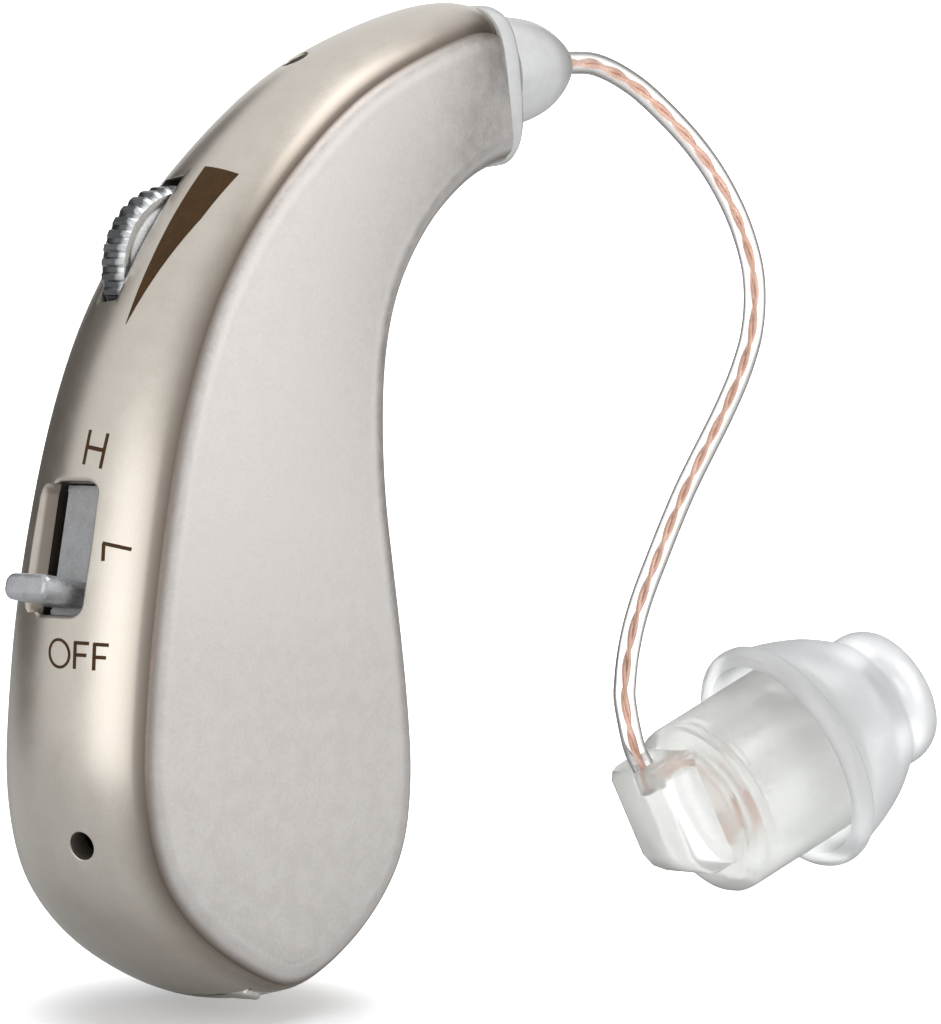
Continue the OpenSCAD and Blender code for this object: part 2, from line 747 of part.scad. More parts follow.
// The block at the back that the lead enters, from the housing's axis
block_up = 3.5;
block_down = 2.4;
block_width = 4.2;
block_back = 2.2;
block_corner = 1.2;
socket_at = 1.45;
socket_end = 2.15;
module receiver_housing() {
    color([0.9, 0.92, 0.91])
        at_receiver()
            difference() {
                union() {
                    rotate_extrude()
                        polygon([
                            [0, 0], [housing_r - edge_r, 0], [housing_r - edge_r * 0.3, edge_r * 0.3],
                            [housing_r, edge_r], [housing_r, housing_length],
                            [housing_in_r, housing_length], [housing_in_r, cavity_from + housing_wall],
                            [0, cavity_from + housing_wall]
                        ]);
                    rotate([90, 0, 0])
                        translate([0, 0, -block_width / 2])
                            linear_extrude(height = block_width)
                                polygon([
                                    [-block_up, cavity_from], [-block_up, block_corner / 3 - block_back],
                                    [block_corner / 3 - block_up, -block_back],
                                    [block_down - block_corner, -block_back],
                                    [block_down - block_corner / 3, block_corner / 2 - block_back],
                                    [block_down, block_corner - block_back], [block_down, cavity_from]
                                ]);
                }
                translate([-socket_end, 0, -socket_at])
                    rotate([0, -90, 0])
                        cylinder(r = lead_d / 2 + fit_gap, h = housing_d);
                translate([-socket_end - lead_d / 2, 0, -socket_at])
                    cylinder(r = wire_way_r / 2, h = socket_at + cavity_from + housing_wall + overrun);
            }
}
can_from = 2;
can_wall = 0.3;
can_r = can_d / 2;
flange_t = 0.4;
module receiver_can() {
    color([0.75, 0.76, 0.77])
        at_receiver()
            translate([0, 0, can_from])
                difference() {
                    rotate_extrude()
                        polygon([
                            [0, 0], [can_r - can_wall, 0], [can_r, can_wall], [can_r, can_wall],
                            [can_r, can_length - flange_t - can_wall],
                            [housing_in_r - fit_gap, can_length - flange_t],
                            [housing_in_r - fit_gap, can_length], [0, can_length]
                        ]);
                    translate([0, 0, can_wall])
                        cylinder(r = can_r - can_wall, h = can_length - 2 * can_wall);
                    translate([0, 0, can_length - 2 * can_wall])
                        cylinder(d = outlet_d, h = 3 * can_wall);
                }
}
coil_r = 2;
coil_t = 1.2;
magnet_r = 1.2;
magnet_t = 1.8;
module receiver_magnet() {
    color([0.35, 0.35, 0.38])
        at_receiver()
            translate([0, 0, can_from + can_wall + seat_gap])
                cylinder(r = magnet_r, h = magnet_t);
}
module receiver_coil() {
    color([0.75, 0.42, 0.25])
        at_receiver()
            translate([0, 0, can_from + can_wall + seat_gap])
                difference() {
                    cylinder(r = coil_r, h = coil_t);
                    translate([0, 0, -overrun])
                        cylinder(r = magnet_r + fit_gap, h = coil_t + 2 * overrun);
                }
}
diaphragm_t = 0.1;
module diaphragm() {
    color([0.8, 0.8, 0.75])
        at_receiver()
            translate([0, 0, can_from + can_wall + magnet_t + clear_gap])
                cylinder(r = can_r - can_wall - seat_gap, h = diaphragm_t);
}
wire_r = 0.11;
wire_pitch = 2.6 * wire_r;
module receiver_wires() {
    color([0.76, 0.45, 0.3])
        at_receiver()
            for (s = [-1, 1])
                translate([wire_r - socket_end - lead_d / 2, s * wire_pitch / 2, lead_d / 2 - socket_at])
                    cylinder(r = wire_r, h = socket_at - lead_d / 2 + can_from - seat_gap);
}
cap_t = 0.6;
cap_from = can_from + can_length + seat_gap;
module housing_cap() {
    color([0.9, 0.92, 0.91])
        at_receiver()
            translate([0, 0, cap_from])
                difference() {
                    cylinder(r = housing_in_r - fit_gap, h = cap_t);
                    translate([0, 0, -overrun])
                        cylinder(r = nozzle_d / 2 + seat_gap, h = cap_t + 2 * overrun);
                }
}
nozzle_from = cap_from;
nozzle_length = 5.4;
barb_r = 0.28;
barb_length = 1.1;
filter_t = 0.3;
module sound_nozzle() {
    color([0.86, 0.87, 0.87])
        at_receiver()
            translate([0, 0, nozzle_from])
                difference() {
                    rotate_extrude()
                        polygon([
                            [0, 0], [nozzle_d / 2, 0],
                            [nozzle_d / 2, nozzle_length - barb_length],
                            [nozzle_d / 2 + barb_r, nozzle_length - barb_length],
                            [nozzle_d / 2 - barb_r / 2, nozzle_length], [0, nozzle_length]
                        ]);
                    translate([0, 0, -overrun])
                        cylinder(d = outlet_d, h = nozzle_length + 2 * overrun);
                }
}
module wax_filter() {
    color([0.95, 0.95, 0.93])
        at_receiver()
            translate([0, 0, nozzle_from + nozzle_length - filter_t])
                cylinder(r = outlet_d / 2 - seat_gap, h = filter_t);
}

rim_from = 5.45;
tip_end = rim_from + tip_length;
stem_from = cap_from + cap_t + clear_gap;
stem_wall = 0.8;
nose_r = nose_d / 2;
skirt_r = skirt_d / 2;
nose_from_share = 0.72;
nose_from = rim_from + nose_from_share * tip_length;
nose_round = 1;
// Radius as a share of the skirt's, height from the rim as a share of the tip's length
bell_shares = [[0.96, 0.12], [0.93, 0.21], [0.875, 0.34], [0.785, 0.5], [0.62, 0.67]];
module ear_tip() {
    nozzle_end = nozzle_from + nozzle_length;
    bore_r = nozzle_d / 2 + barb_r + fit_gap;
    color([0.93, 0.93, 0.93])
        at_receiver()
            rotate_extrude()
                polygon(concat(
                    [[bore_r, stem_from], [bore_r + stem_wall, stem_from],
                     [bore_r + stem_wall, nose_from - 2 * skirt_wall],
                     [nose_r - skirt_wall, nose_from - 2 * skirt_wall]],
                    [for (i = [len(bell_shares) - 2:-1:1])
                        [bell_shares[i][0] * skirt_r - skirt_wall, rim_from + bell_shares[i][1] * tip_length]],
                    [[skirt_r - 2 * skirt_wall, rim_from + skirt_wall], [skirt_r - skirt_wall, rim_from],
                     [skirt_r - skirt_wall / 3, rim_from + skirt_wall / 4],
                     [skirt_r, rim_from + skirt_wall]],
                    [for (p = bell_shares) [p[0] * skirt_r, rim_from + p[1] * tip_length]],
                    [[nose_r, nose_from], [nose_r, tip_end - nose_round],
                     [nose_r - nose_round / 6, tip_end - nose_round / 2],
                     [nose_r - nose_round / 2, tip_end - nose_round / 6],
                     [nose_r - nose_round, tip_end], [outlet_d / 2, tip_end],
                     [outlet_d / 2, nozzle_end + clear_gap], [bore_r, nozzle_end + clear_gap]]
                ));
}

// Route of the clear lead in the middle plane, x and z, from the cone to the housing's socket
lead_points = [
    [13, 7.8], [14.2, 7.5], [15.4, 7], [16.5, 6.4], [18.1, 5.3], [19.6, 4.1], [21, 2.7],
    [22.2, 1.1], [23, -0.4], [23.5, -1.9], [23.6, -3.4], [23.4, -4.8], [23, -5.9], [22.4, -7.1],
    [21.4, -8.7], [20.2, -10.4], [19.1, -12], [18.2, -13.5], [17.2, -15.3], [16.4, -16.8],
    [15.8, -18.2], [15.4, -19.6], [15.2, -20.9], [15.2, -21.9]
];
lead_sides = 8;
function flat(p) = [p[0], 0, p[1]];
neck_out = [cos(neck_tilt), 0, sin(neck_tilt)];
receiver_axis = [cos(receiver_pitch) * cos(receiver_yaw), cos(receiver_pitch) * sin(receiver_yaw),
                 sin(receiver_pitch)];
receiver_up = [-sin(receiver_pitch) * cos(receiver_yaw), -sin(receiver_pitch) * sin(receiver_yaw),
               cos(receiver_pitch)];
lead_start = flat(neck_at) + (cone_from + cone_length) * neck_out;
lead_end = receiver_at - socket_at * receiver_axis + socket_end * receiver_up;
lead_mouth = lead_end + (block_up - socket_end) * receiver_up;
lead_route = concat(
    [lead_start, lead_start + lead_d / 2 * neck_out],
    [for (p = lead_points) flat(p)],
    [lead_mouth + lead_d * receiver_up, lead_mouth, lead_end]
);
lead_last = len(lead_route) - 1;
function lead_knot(i) = lead_route[max(0, min(lead_last, i))];
function lead_point(t) =
    let (i = max(0, min(floor(t), lead_last - 1)))
    cubic(lead_knot(i - 1), lead_knot(i), lead_knot(i + 1), lead_knot(i + 2), t - i);
lead_ts = [for (i = [0:2 * lead_last]) i / 2];
function lead_way(i) =
    let (n = len(lead_ts) - 1)
    i == 0 ? neck_out :
    i == n ? -receiver_up :
    let (d = lead_point(lead_ts[i + 1]) - lead_point(lead_ts[i - 1])) d / norm(d);
module receiver_lead() {
    rings = len(lead_ts);
    points = [
        for (i = [0:rings - 1])
            let (way = lead_way(i), across_way = cross(way, [0, 1, 0]),
                 a_side = across_way / norm(across_way), b_side = cross(a_side, way))
            for (j = [0:lead_sides - 1])
                let (a = 360 * (j + 0.5) / lead_sides)
                lead_point(lead_ts[i]) + lead_d / 2 * (cos(a) * a_side + sin(a) * b_side)
    ];
    color([0.85, 0.8, 0.78])
        polyhedron(
            points = points,
            faces = concat(
                strip(rings, lead_sides),
                [[for (j = [lead_sides - 1:-1:0]) j]],
                [[for (j = [0:lead_sides - 1]) (rings - 1) * lead_sides + j]]
            )
        );
}

case_frame();
right_cover();
left_cover();
assembly_pins();
battery_door();
door_hinge_pin();
battery();
positive_contact();
negative_contact();
circuit_board();
amplifier_chip();
board_capacitors();
volume_control();
volume_wheel();
wheel_screw();
switch_body();
switch_cover();
switch_lever();
switch_contacts();
microphone();
microphone_boot();
microphone_screen();
neck_collar();
lead_cone();
lead_plug();
receiver_lead();
receiver_housing();
housing_cap();
receiver_can();
receiver_coil();
receiver_magnet();
diaphragm();
receiver_wires();
sound_nozzle();
wax_filter();
ear_tip();
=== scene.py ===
# %% [markdown]
# # A behind-the-ear hearing aid
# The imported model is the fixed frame: it says where every piece sits and how it moves. This lesson dresses
# it. The smooth outer skins are worked out again as fine numpy surfaces, and the inner parts keep their CAD
# shape and get a finish. Sizes are in millimetres until a mesh is made, and Blender gets metres.

# %% Load the frame
import math

import bmesh
import bpy
import numpy as np
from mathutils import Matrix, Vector


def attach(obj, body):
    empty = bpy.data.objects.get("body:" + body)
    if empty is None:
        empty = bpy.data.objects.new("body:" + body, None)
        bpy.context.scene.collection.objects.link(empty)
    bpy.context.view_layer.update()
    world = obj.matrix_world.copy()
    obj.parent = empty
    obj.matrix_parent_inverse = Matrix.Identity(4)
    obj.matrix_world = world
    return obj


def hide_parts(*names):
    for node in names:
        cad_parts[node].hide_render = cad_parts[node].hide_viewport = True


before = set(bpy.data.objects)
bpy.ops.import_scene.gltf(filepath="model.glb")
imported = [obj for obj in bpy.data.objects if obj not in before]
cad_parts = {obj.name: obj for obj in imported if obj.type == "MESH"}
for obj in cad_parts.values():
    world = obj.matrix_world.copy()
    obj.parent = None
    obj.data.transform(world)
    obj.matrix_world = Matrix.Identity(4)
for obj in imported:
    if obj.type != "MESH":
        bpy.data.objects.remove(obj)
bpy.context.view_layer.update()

MM = 0.001

# %% [markdown]
# ## Camera
# The photograph looks at the spine and the right side together, almost level and from far away, so the lens
# is long and lines stay nearly parallel. The camera's place and direction were solved from the outline of the
# case. Only the floor's slight tilt follows them.

# %% Camera
camera_place = np.array([-339.6, -371.45, 0.99])
camera_way = Vector((0.680348, 0.732544, -0.027263))
camera_data = bpy.data.cameras.new("camera")
camera_data.lens = 388.5
camera_data.clip_start, camera_data.clip_end = 0.01, 20
camera = bpy.data.objects.new("camera", camera_data)
camera.location = camera_place * MM
camera.rotation_euler = camera_way.to_track_quat("-Z", "Y").to_euler()
bpy.context.scene.collection.objects.link(camera)
bpy.context.scene.camera = camera
print("camera lens", camera_data.lens)

# %% [markdown]
# ## Meshes from arrays
# A surface here is a grid of points with rows and columns. One helper joins neighbours into quads, and one
# turns points and faces into a Blender mesh, merges the poles and seams, and turns the faces outwards. Lofts
# join rings, and the booleans cut them. All of them work in millimetres.


# %% Mesh helpers
def grid_faces(rows, columns, close_rows=False, close_columns=True):
    """Quads between neighbouring points of a grid; either direction may close on itself."""
    r = np.arange(rows if close_rows else rows - 1)[:, None]
    c = np.arange(columns if close_columns else columns - 1)[None, :]
    r2, c2 = (r + 1) % rows, (c + 1) % columns
    corners = (r * columns + c, r * columns + c2, r2 * columns + c2, r2 * columns + c)
    return np.stack(np.broadcast_arrays(*corners), -1).reshape(-1, 4).tolist()


def solid(name, points, faces, sharp=40):
    """A closed mesh object, in metres, at the origin: merged, faces outwards, smooth but for sharp edges."""
    mesh = bpy.data.meshes.new(name)
    mesh.from_pydata((np.asarray(points, float).reshape(-1, 3) * MM).tolist(), [], faces)
    shape = bmesh.new()
    shape.from_mesh(mesh)
    bmesh.ops.remove_doubles(shape, verts=shape.verts, dist=1e-7)
    bmesh.ops.recalc_face_normals(shape, faces=shape.faces)
    shape.to_mesh(mesh)
    shape.free()
    thing = bpy.data.objects.new(name, mesh)
    bpy.context.scene.collection.objects.link(thing)
    smooth(thing, sharp)
    return thing


def smooth(thing, sharp=40):
    """Smooth shading, broken only where faces meet at more than the given angle."""
    mesh = thing.data
    mesh.polygons.foreach_set("use_smooth", np.ones(len(mesh.polygons), bool))
    mesh.set_sharp_from_angle(angle=math.radians(sharp))


def loft(name, rings, sharp=40):
    """Rings of equal count joined into a tube, with both ends capped."""
    rings = np.asarray(rings, float)
    n, m = rings.shape[:2]
    faces = grid_faces(n, m)
    faces.append(list(range(m))[::-1])
    faces.append(list(range((n - 1) * m, n * m)))
    return solid(name, rings, faces, sharp)


def cut(thing, tools, operation="DIFFERENCE", sharp=40):
    """Cuts, joins or keeps what is common to the piece and each tool in turn, and deletes the tools."""
    for tool in tools:
        step = thing.modifiers.new("cut", "BOOLEAN")
        step.object, step.operation, step.solver = tool, operation, "MANIFOLD"
        graph = bpy.context.evaluated_depsgraph_get()
        made = bpy.data.meshes.new_from_object(thing.evaluated_get(graph))
        thing.modifiers.clear()
        thing.data = made
        bpy.data.objects.remove(tool)
    smooth(thing, sharp)
    return thing


def level(points, z):
    """Points of a plane, all at one height."""
    return np.column_stack([points, np.full(len(points), z)])


def circle(radius, count=48):
    """Points of a circle in the plane."""
    angle = np.linspace(0, 2 * np.pi, count, endpoint=False)
    return radius * np.stack([np.cos(angle), np.sin(angle)], -1)


def spline(points, per_span):
    """A smooth curve through points: each span is the cubic whose end slopes come from the neighbours."""
    p = np.asarray(points, float)
    p = np.vstack([p[:1], p, p[-1:]])
    u = np.linspace(0, 1, per_span, endpoint=False)[None, :, None]
    a, b, c, d = (p[i:len(p) - 3 + i][:, None] for i in range(4))
    q = (2 * b + (c - a) * u + (2 * a - 5 * b + 4 * c - d) * u ** 2 + (3 * b - a - 3 * c + d) * u ** 3) / 2
    return np.vstack([q.reshape(-1, p.shape[1]), p[-1:]])


def tube(path, radius, sides, turn=0.0, offset=0.0):
    """Rings of a round tube along a path; offset and turn carry it round the path as a helix."""
    way = np.gradient(path, axis=0)
    way /= np.linalg.norm(way, axis=1)[:, None]
    a = np.cross(way, [0.0, 1.0, 0.0])
    a /= np.linalg.norm(a, axis=1)[:, None]
    b = np.cross(a, way)
    t = np.broadcast_to(turn, len(path))[:, None]
    centre = path + offset * (np.cos(t) * a + np.sin(t) * b)
    angle = np.linspace(0, 2 * np.pi, sides, endpoint=False)[None, :, None]
    return centre[:, None] + radius * (np.cos(angle) * a[:, None] + np.sin(angle) * b[:, None])


# %% [markdown]
# ## Node groups
# Effects that many finishes share are groups: a grain that mixes two tones, and a brushed metal. A group puts
# out only colours, values and heights; the shader and its constants stay in each material.


# %% Shared effects
def new_group(name, inputs, outputs):
    """An empty shader node group with named sockets, and its input and output nodes."""
    group = bpy.data.node_groups.new(name, "ShaderNodeTree")
    for label, kind, value in inputs:
        socket = group.interface.new_socket(label, in_out="INPUT", socket_type=kind)
        if value is not None:
            socket.default_value = value
    for label, kind in outputs:
        group.interface.new_socket(label, in_out="OUTPUT", socket_type=kind)
    return group, group.nodes.new("NodeGroupInput"), group.nodes.new("NodeGroupOutput")


def noise(group, vector, scale, detail, roughness=0.5):
    """A noise texture node fed by a vector and by a scale that may be a socket or a number."""
    node = group.nodes.new("ShaderNodeTexNoise")
    node.inputs["Detail"].default_value = detail
    node.inputs["Roughness"].default_value = roughness
    group.links.new(vector, node.inputs["Vector"])
    if isinstance(scale, (int, float)):
        node.inputs["Scale"].default_value = scale
    else:
        group.links.new(scale, node.inputs["Scale"])
    return node.outputs["Fac"]


def ranged(group, value, low, high, to_low, to_high):
    """A smooth step of a value from one range to another; ends may be sockets or numbers."""
    node = group.nodes.new("ShaderNodeMapRange")
    node.interpolation_type = "SMOOTHSTEP"
    for socket, what in zip(node.inputs, (value, low, high, to_low, to_high)):
        if isinstance(what, (int, float)):
            socket.default_value = what
        else:
            group.links.new(what, socket)
    return node.outputs[0]


def tones(group, mask, first, second):
    """Mixes a colour socket into a second colour, a socket or three numbers, by a mask."""
    node = group.nodes.new("ShaderNodeMix")
    node.data_type = "RGBA"
    group.links.new(mask, node.inputs[0])
    group.links.new(first, node.inputs[6])
    if isinstance(second, tuple):
        node.inputs[7].default_value = (*second, 1)
    else:
        group.links.new(second, node.inputs[7])
    return node.outputs[2]


GRAIN_IN = [("Vector", "NodeSocketVector", None), ("Scale", "NodeSocketFloat", 4000.0),
            ("Cloud", "NodeSocketFloat", 500.0), ("First", "NodeSocketColor", None),
            ("Second", "NodeSocketColor", None), ("Smooth", "NodeSocketFloat", 0.3),
            ("Rough", "NodeSocketFloat", 0.4)]
GRAIN_OUT = [("Color", "NodeSocketColor"), ("Roughness", "NodeSocketFloat"), ("Height", "NodeSocketFloat")]


def make_grain():
    """Fine grains over slow clouds: the sum of both noises picks the tone, the grains alone the height."""
    group, start, end = new_group("grain", GRAIN_IN, GRAIN_OUT)
    fine = noise(group, start.outputs["Vector"], start.outputs["Scale"], 2.0)
    slow = noise(group, start.outputs["Vector"], start.outputs["Cloud"], 3.0)
    add = group.nodes.new("ShaderNodeMath")
    add.operation = "ADD"
    group.links.new(fine, add.inputs[0])
    group.links.new(slow, add.inputs[1])
    mask = ranged(group, add.outputs[0], 0.75, 1.25, 0.0, 1.0)
    group.links.new(tones(group, mask, start.outputs["First"], start.outputs["Second"]), end.inputs["Color"])
    group.links.new(ranged(group, mask, 0.0, 1.0, start.outputs["Smooth"], start.outputs["Rough"]),
                    end.inputs["Roughness"])
    group.links.new(fine, end.inputs["Height"])
    return group


def make_brushed():
    """Lines of a worked metal: a noise squeezed along one direction picks tone, roughness and height."""
    group, start, end = new_group("brushed", GRAIN_IN, GRAIN_OUT)
    stretch = group.nodes.new("ShaderNodeMapping")
    stretch.inputs["Scale"].default_value = (0.06, 1.0, 0.06)
    group.links.new(start.outputs["Vector"], stretch.inputs["Vector"])
    lines = noise(group, stretch.outputs["Vector"], start.outputs["Scale"], 3.0, 0.65)
    slow = noise(group, start.outputs["Vector"], start.outputs["Cloud"], 2.0)
    mask = ranged(group, slow, 0.3, 0.7, 0.0, 1.0)
    group.links.new(tones(group, mask, start.outputs["First"], start.outputs["Second"]), end.inputs["Color"])
    group.links.new(ranged(group, lines, 0.3, 0.7, start.outputs["Smooth"], start.outputs["Rough"]),
                    end.inputs["Roughness"])
    group.links.new(lines, end.inputs["Height"])
    return group


effects = {"grain": make_grain(), "brushed": make_brushed()}
print("node groups", sorted(effects))


# %% [markdown]
# ## Finishes
# Each finish is a Principled shader fed by one of the shared effects. A row below names the effect, the sizes
# of its grain and clouds in grains per metre, two tones, the range of roughness, the depth of its bump in
# millimetres, and the constants that are set on the shader's own sockets.
#
# Light crosses more of a clear piece's wall where the surface turns away, so the clear finishes also have an
# edge: a tint, which is painted shade standing in for the darker surroundings seen through the edges, the
# range of the facing angle over which they take it, and how clear they still are there.
# Painted pieces and the wheel have painted shade: a dark tint in their grooves, by a mesh attribute.


# %% Materials
def finish(name, effect, scale, cloud, first, second, smooth_to_rough, depth,
           edge=None, painted_shade=None, **constants):
    """A material: effect group to colour, roughness and bump of one Principled shader."""
    material = bpy.data.materials.new(name)
    material.use_nodes = True
    tree = material.node_tree
    shader = tree.nodes["Principled BSDF"]
    where = tree.nodes.new("ShaderNodeTexCoord")
    group = tree.nodes.new("ShaderNodeGroup")
    group.node_tree = effects[effect]
    group.inputs["Scale"].default_value = scale
    group.inputs["Cloud"].default_value = cloud
    group.inputs["First"].default_value = (*first, 1)
    group.inputs["Second"].default_value = (*second, 1)
    group.inputs["Smooth"].default_value, group.inputs["Rough"].default_value = smooth_to_rough
    bump = tree.nodes.new("ShaderNodeBump")
    bump.inputs["Strength"].default_value = 1.0
    bump.inputs["Distance"].default_value = depth * MM
    tree.links.new(where.outputs["Object"], group.inputs["Vector"])
    color = group.outputs["Color"]
    # Painted shade on clear pieces: a dark tint towards the edges, for the darker surroundings seen through
    # them.
    if edge is not None:
        painted_edge_shade, span, clear = edge
        facing = tree.nodes.new("ShaderNodeLayerWeight")
        facing.inputs["Blend"].default_value = 0.5
        turned_away = facing.outputs["Facing"]
        color = tones(tree, ranged(tree, turned_away, *span, 0.0, 1.0), color, painted_edge_shade)
        clear = ranged(tree, turned_away, *span, constants.pop("Transmission_Weight"), clear)
        tree.links.new(clear, shader.inputs["Transmission Weight"])
    # Painted shade: a dark tint mixed in by a mesh attribute, deepest in grooves and openings.
    if painted_shade is not None:
        deep = tree.nodes.new("ShaderNodeAttribute")
        deep.attribute_name = "painted_shade"
        color = tones(tree, deep.outputs["Fac"], color, painted_shade)
    tree.links.new(color, shader.inputs["Base Color"])
    tree.links.new(group.outputs["Roughness"], shader.inputs["Roughness"])
    tree.links.new(group.outputs["Height"], bump.inputs["Height"])
    tree.links.new(bump.outputs["Normal"], shader.inputs["Normal"])
    for socket, value in constants.items():
        shader.inputs[socket.replace("_", " ")].default_value = value
    return material


def grey(value, warm=0.0):
    """A grey with its red raised and its blue lowered by the same amount."""
    return (value * (1 + warm), value, value * (1 - warm))


# The groove tints of the painted finishes and of the wheel are painted shade.
finishes = {
    "case_paint": finish("champagne_satin", "grain", 8000, 900, (0.56, 0.515, 0.455), (0.59, 0.548, 0.49),
                         (0.3, 0.33), 0.0025, painted_shade=(0.13, 0.1, 0.075), Metallic=0.85, Coat_Weight=0.1,
                         Coat_Roughness=0.2),
    "cover_paint": finish("silver_satin", "grain", 6500, 1300, (0.555, 0.525, 0.5), (0.61, 0.58, 0.557),
                          (0.34, 0.42), 0.004, painted_shade=(0.16, 0.125, 0.1), Metallic=0.75, Coat_Weight=0.05,
                          Coat_Roughness=0.3),
    "pin_steel": finish("ground_steel", "brushed", 20000, 900, grey(0.5), grey(0.62), (0.2, 0.38), 0.001,
                        Metallic=1.0),
    "cell_steel": finish("plated_steel", "grain", 9000, 700, grey(0.58), grey(0.7), (0.18, 0.3), 0.0006,
                         Metallic=1.0),
    "contact_gold": finish("gold_plate", "brushed", 24000, 900, (0.75, 0.55, 0.2), (0.86, 0.66, 0.3),
                           (0.2, 0.36), 0.0008, Metallic=1.0),
    "board_green": finish("solder_mask", "grain", 5200, 600, (0.012, 0.1, 0.035), (0.02, 0.16, 0.06),
                          (0.25, 0.38), 0.002, Coat_Weight=0.4),
    "chip_black": finish("moulded_epoxy", "grain", 16000, 900, grey(0.012), grey(0.03), (0.5, 0.7), 0.003),
    "capacitor_tan": finish("ceramic_tan", "grain", 12000, 1500, (0.28, 0.17, 0.08), (0.38, 0.25, 0.13),
                            (0.4, 0.6), 0.002),
    "control_grey": finish("control_plastic", "grain", 9000, 800, grey(0.03, -0.1), grey(0.05, -0.1),
                           (0.35, 0.5), 0.002),
    "wheel_silver": finish("wheel_metal", "grain", 11000, 900, grey(0.62, -0.02), grey(0.72, -0.02),
                           (0.26, 0.42), 0.003, painted_shade=grey(0.13, -0.04), Metallic=0.9),
    "plate_grey": finish("plate_paint", "grain", 8500, 1400, (0.33, 0.33, 0.335), (0.43, 0.435, 0.44),
                         (0.35, 0.5), 0.004, Metallic=0.6),
    "lever_silver": finish("lever_paint", "grain", 9000, 1200, (0.4, 0.41, 0.43), (0.52, 0.53, 0.55),
                           (0.3, 0.45), 0.003, Metallic=0.75),
    "mic_steel": finish("mic_can", "brushed", 18000, 900, grey(0.55), grey(0.66), (0.2, 0.34), 0.0008,
                        Metallic=1.0),
    "boot_rubber": finish("black_rubber", "grain", 12000, 900, grey(0.008), grey(0.02), (0.55, 0.8), 0.003),
    "screen_mesh": finish("black_gauze", "grain", 26000, 3000, grey(0.004), grey(0.03), (0.5, 0.8), 0.01),
    "collar_clear": finish("frosted_collar", "grain", 2500, 700, (0.88, 0.88, 0.865), (0.93, 0.93, 0.92),
                           (0.3, 0.36), 0.0003, edge=((0.42, 0.42, 0.4), (0.45, 0.95), 0.0),
                           Transmission_Weight=0.12, IOR=1.46, Coat_Weight=0.4, Coat_Roughness=0.12),
    "lead_clear": finish("clear_tube", "grain", 3000, 500, (0.88, 0.85, 0.835), (0.93, 0.9, 0.89),
                         (0.03, 0.08), 0.0002, edge=((0.27, 0.265, 0.25), (0.2, 0.62), 0.1),
                         Transmission_Weight=0.93, IOR=1.3),
    "housing_clear": finish("clear_housing", "grain", 2500, 420, (0.88, 0.885, 0.87), (0.92, 0.925, 0.91),
                            (0.3, 0.34), 0.0003, edge=((0.5, 0.51, 0.48), (0.5, 0.98), 0.35),
                            Transmission_Weight=0.78, IOR=1.18),
    "can_steel": finish("drawn_can", "grain", 6000, 600, grey(0.9), grey(0.94), (0.3, 0.38), 0.0003,
                        Metallic=0.65),
    "copper": finish("copper_wire", "brushed", 16000, 1200, (0.66, 0.4, 0.3), (0.8, 0.54, 0.43),
                     (0.25, 0.42), 0.0008, Metallic=0.6),
    "magnet_grey": finish("sintered_magnet", "grain", 15000, 1200, grey(0.08), grey(0.14), (0.35, 0.55),
                          0.004, Metallic=0.8),
    "nozzle_white": finish("nozzle_plastic", "grain", 5000, 900, grey(0.74), grey(0.84), (0.3, 0.42), 0.0015,
                           Transmission_Weight=0.3, IOR=1.48),
    "tip_silicone": finish("frosted_silicone", "grain", 4200, 380, (0.925, 0.928, 0.93),
                           (0.955, 0.956, 0.958), (0.5, 0.6), 0.0008,
                           edge=((0.7, 0.705, 0.71), (0.25, 0.9), 0.3), Transmission_Weight=0.75, IOR=1.12),
}
ink = finish("brown_print", "grain", 9000, 1500, (0.07, 0.036, 0.013), (0.09, 0.048, 0.019), (0.5, 0.6),
             0.001, Specular_IOR_Level=0.12)
print("finishes", len(finishes))

# %% CAD nodes take their slot's finish
node_slots = {
    "pin_steel": ["assembly_pins", "door_hinge_pin", "wheel_screw"], "cell_steel": ["battery"],
    "contact_gold": ["positive_contact", "negative_contact", "switch_contacts"],
    "board_green": ["circuit_board"], "chip_black": ["amplifier_chip", "switch_body"],
    "capacitor_tan": ["board_capacitors"], "control_grey": ["volume_control", "lead_plug"],
    "plate_grey": ["switch_cover"], "mic_steel": ["microphone"], "boot_rubber": ["microphone_boot"],
    "screen_mesh": ["microphone_screen"], "housing_clear": ["housing_cap"], "copper": ["receiver_coil"],
    "magnet_grey": ["receiver_magnet"], "nozzle_white": ["sound_nozzle", "wax_filter", "diaphragm"],
}
for slot_name, names in node_slots.items():
    for node_name in names:
        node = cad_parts[node_name]
        for socket in node.material_slots:
            socket.material = finishes[slot_name]
print("CAD nodes with a finish", sum(len(names) for names in node_slots.values()))


def place(thing, body, slot_name, *nodes, material=None):
    """Gives a piece its finish and its body, and hides the CAD nodes that it stands for."""
    thing.data.materials.clear()
    thing.data.materials.append(material or finishes[slot_name])
    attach(thing, body)
    if nodes:
        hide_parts(*nodes)
    print(thing.name, len(thing.data.polygons), "faces")
    return thing


# %% [markdown]
# ## The clear lead
# A thin clear tube holds its preformed curve and carries two twisted copper strands to the receiver. Its
# route repeats the points of the CAD solid, in metres. The tube is a ring carried along the route, and a
# strand is a thinner ring that circles the same route as a helix.

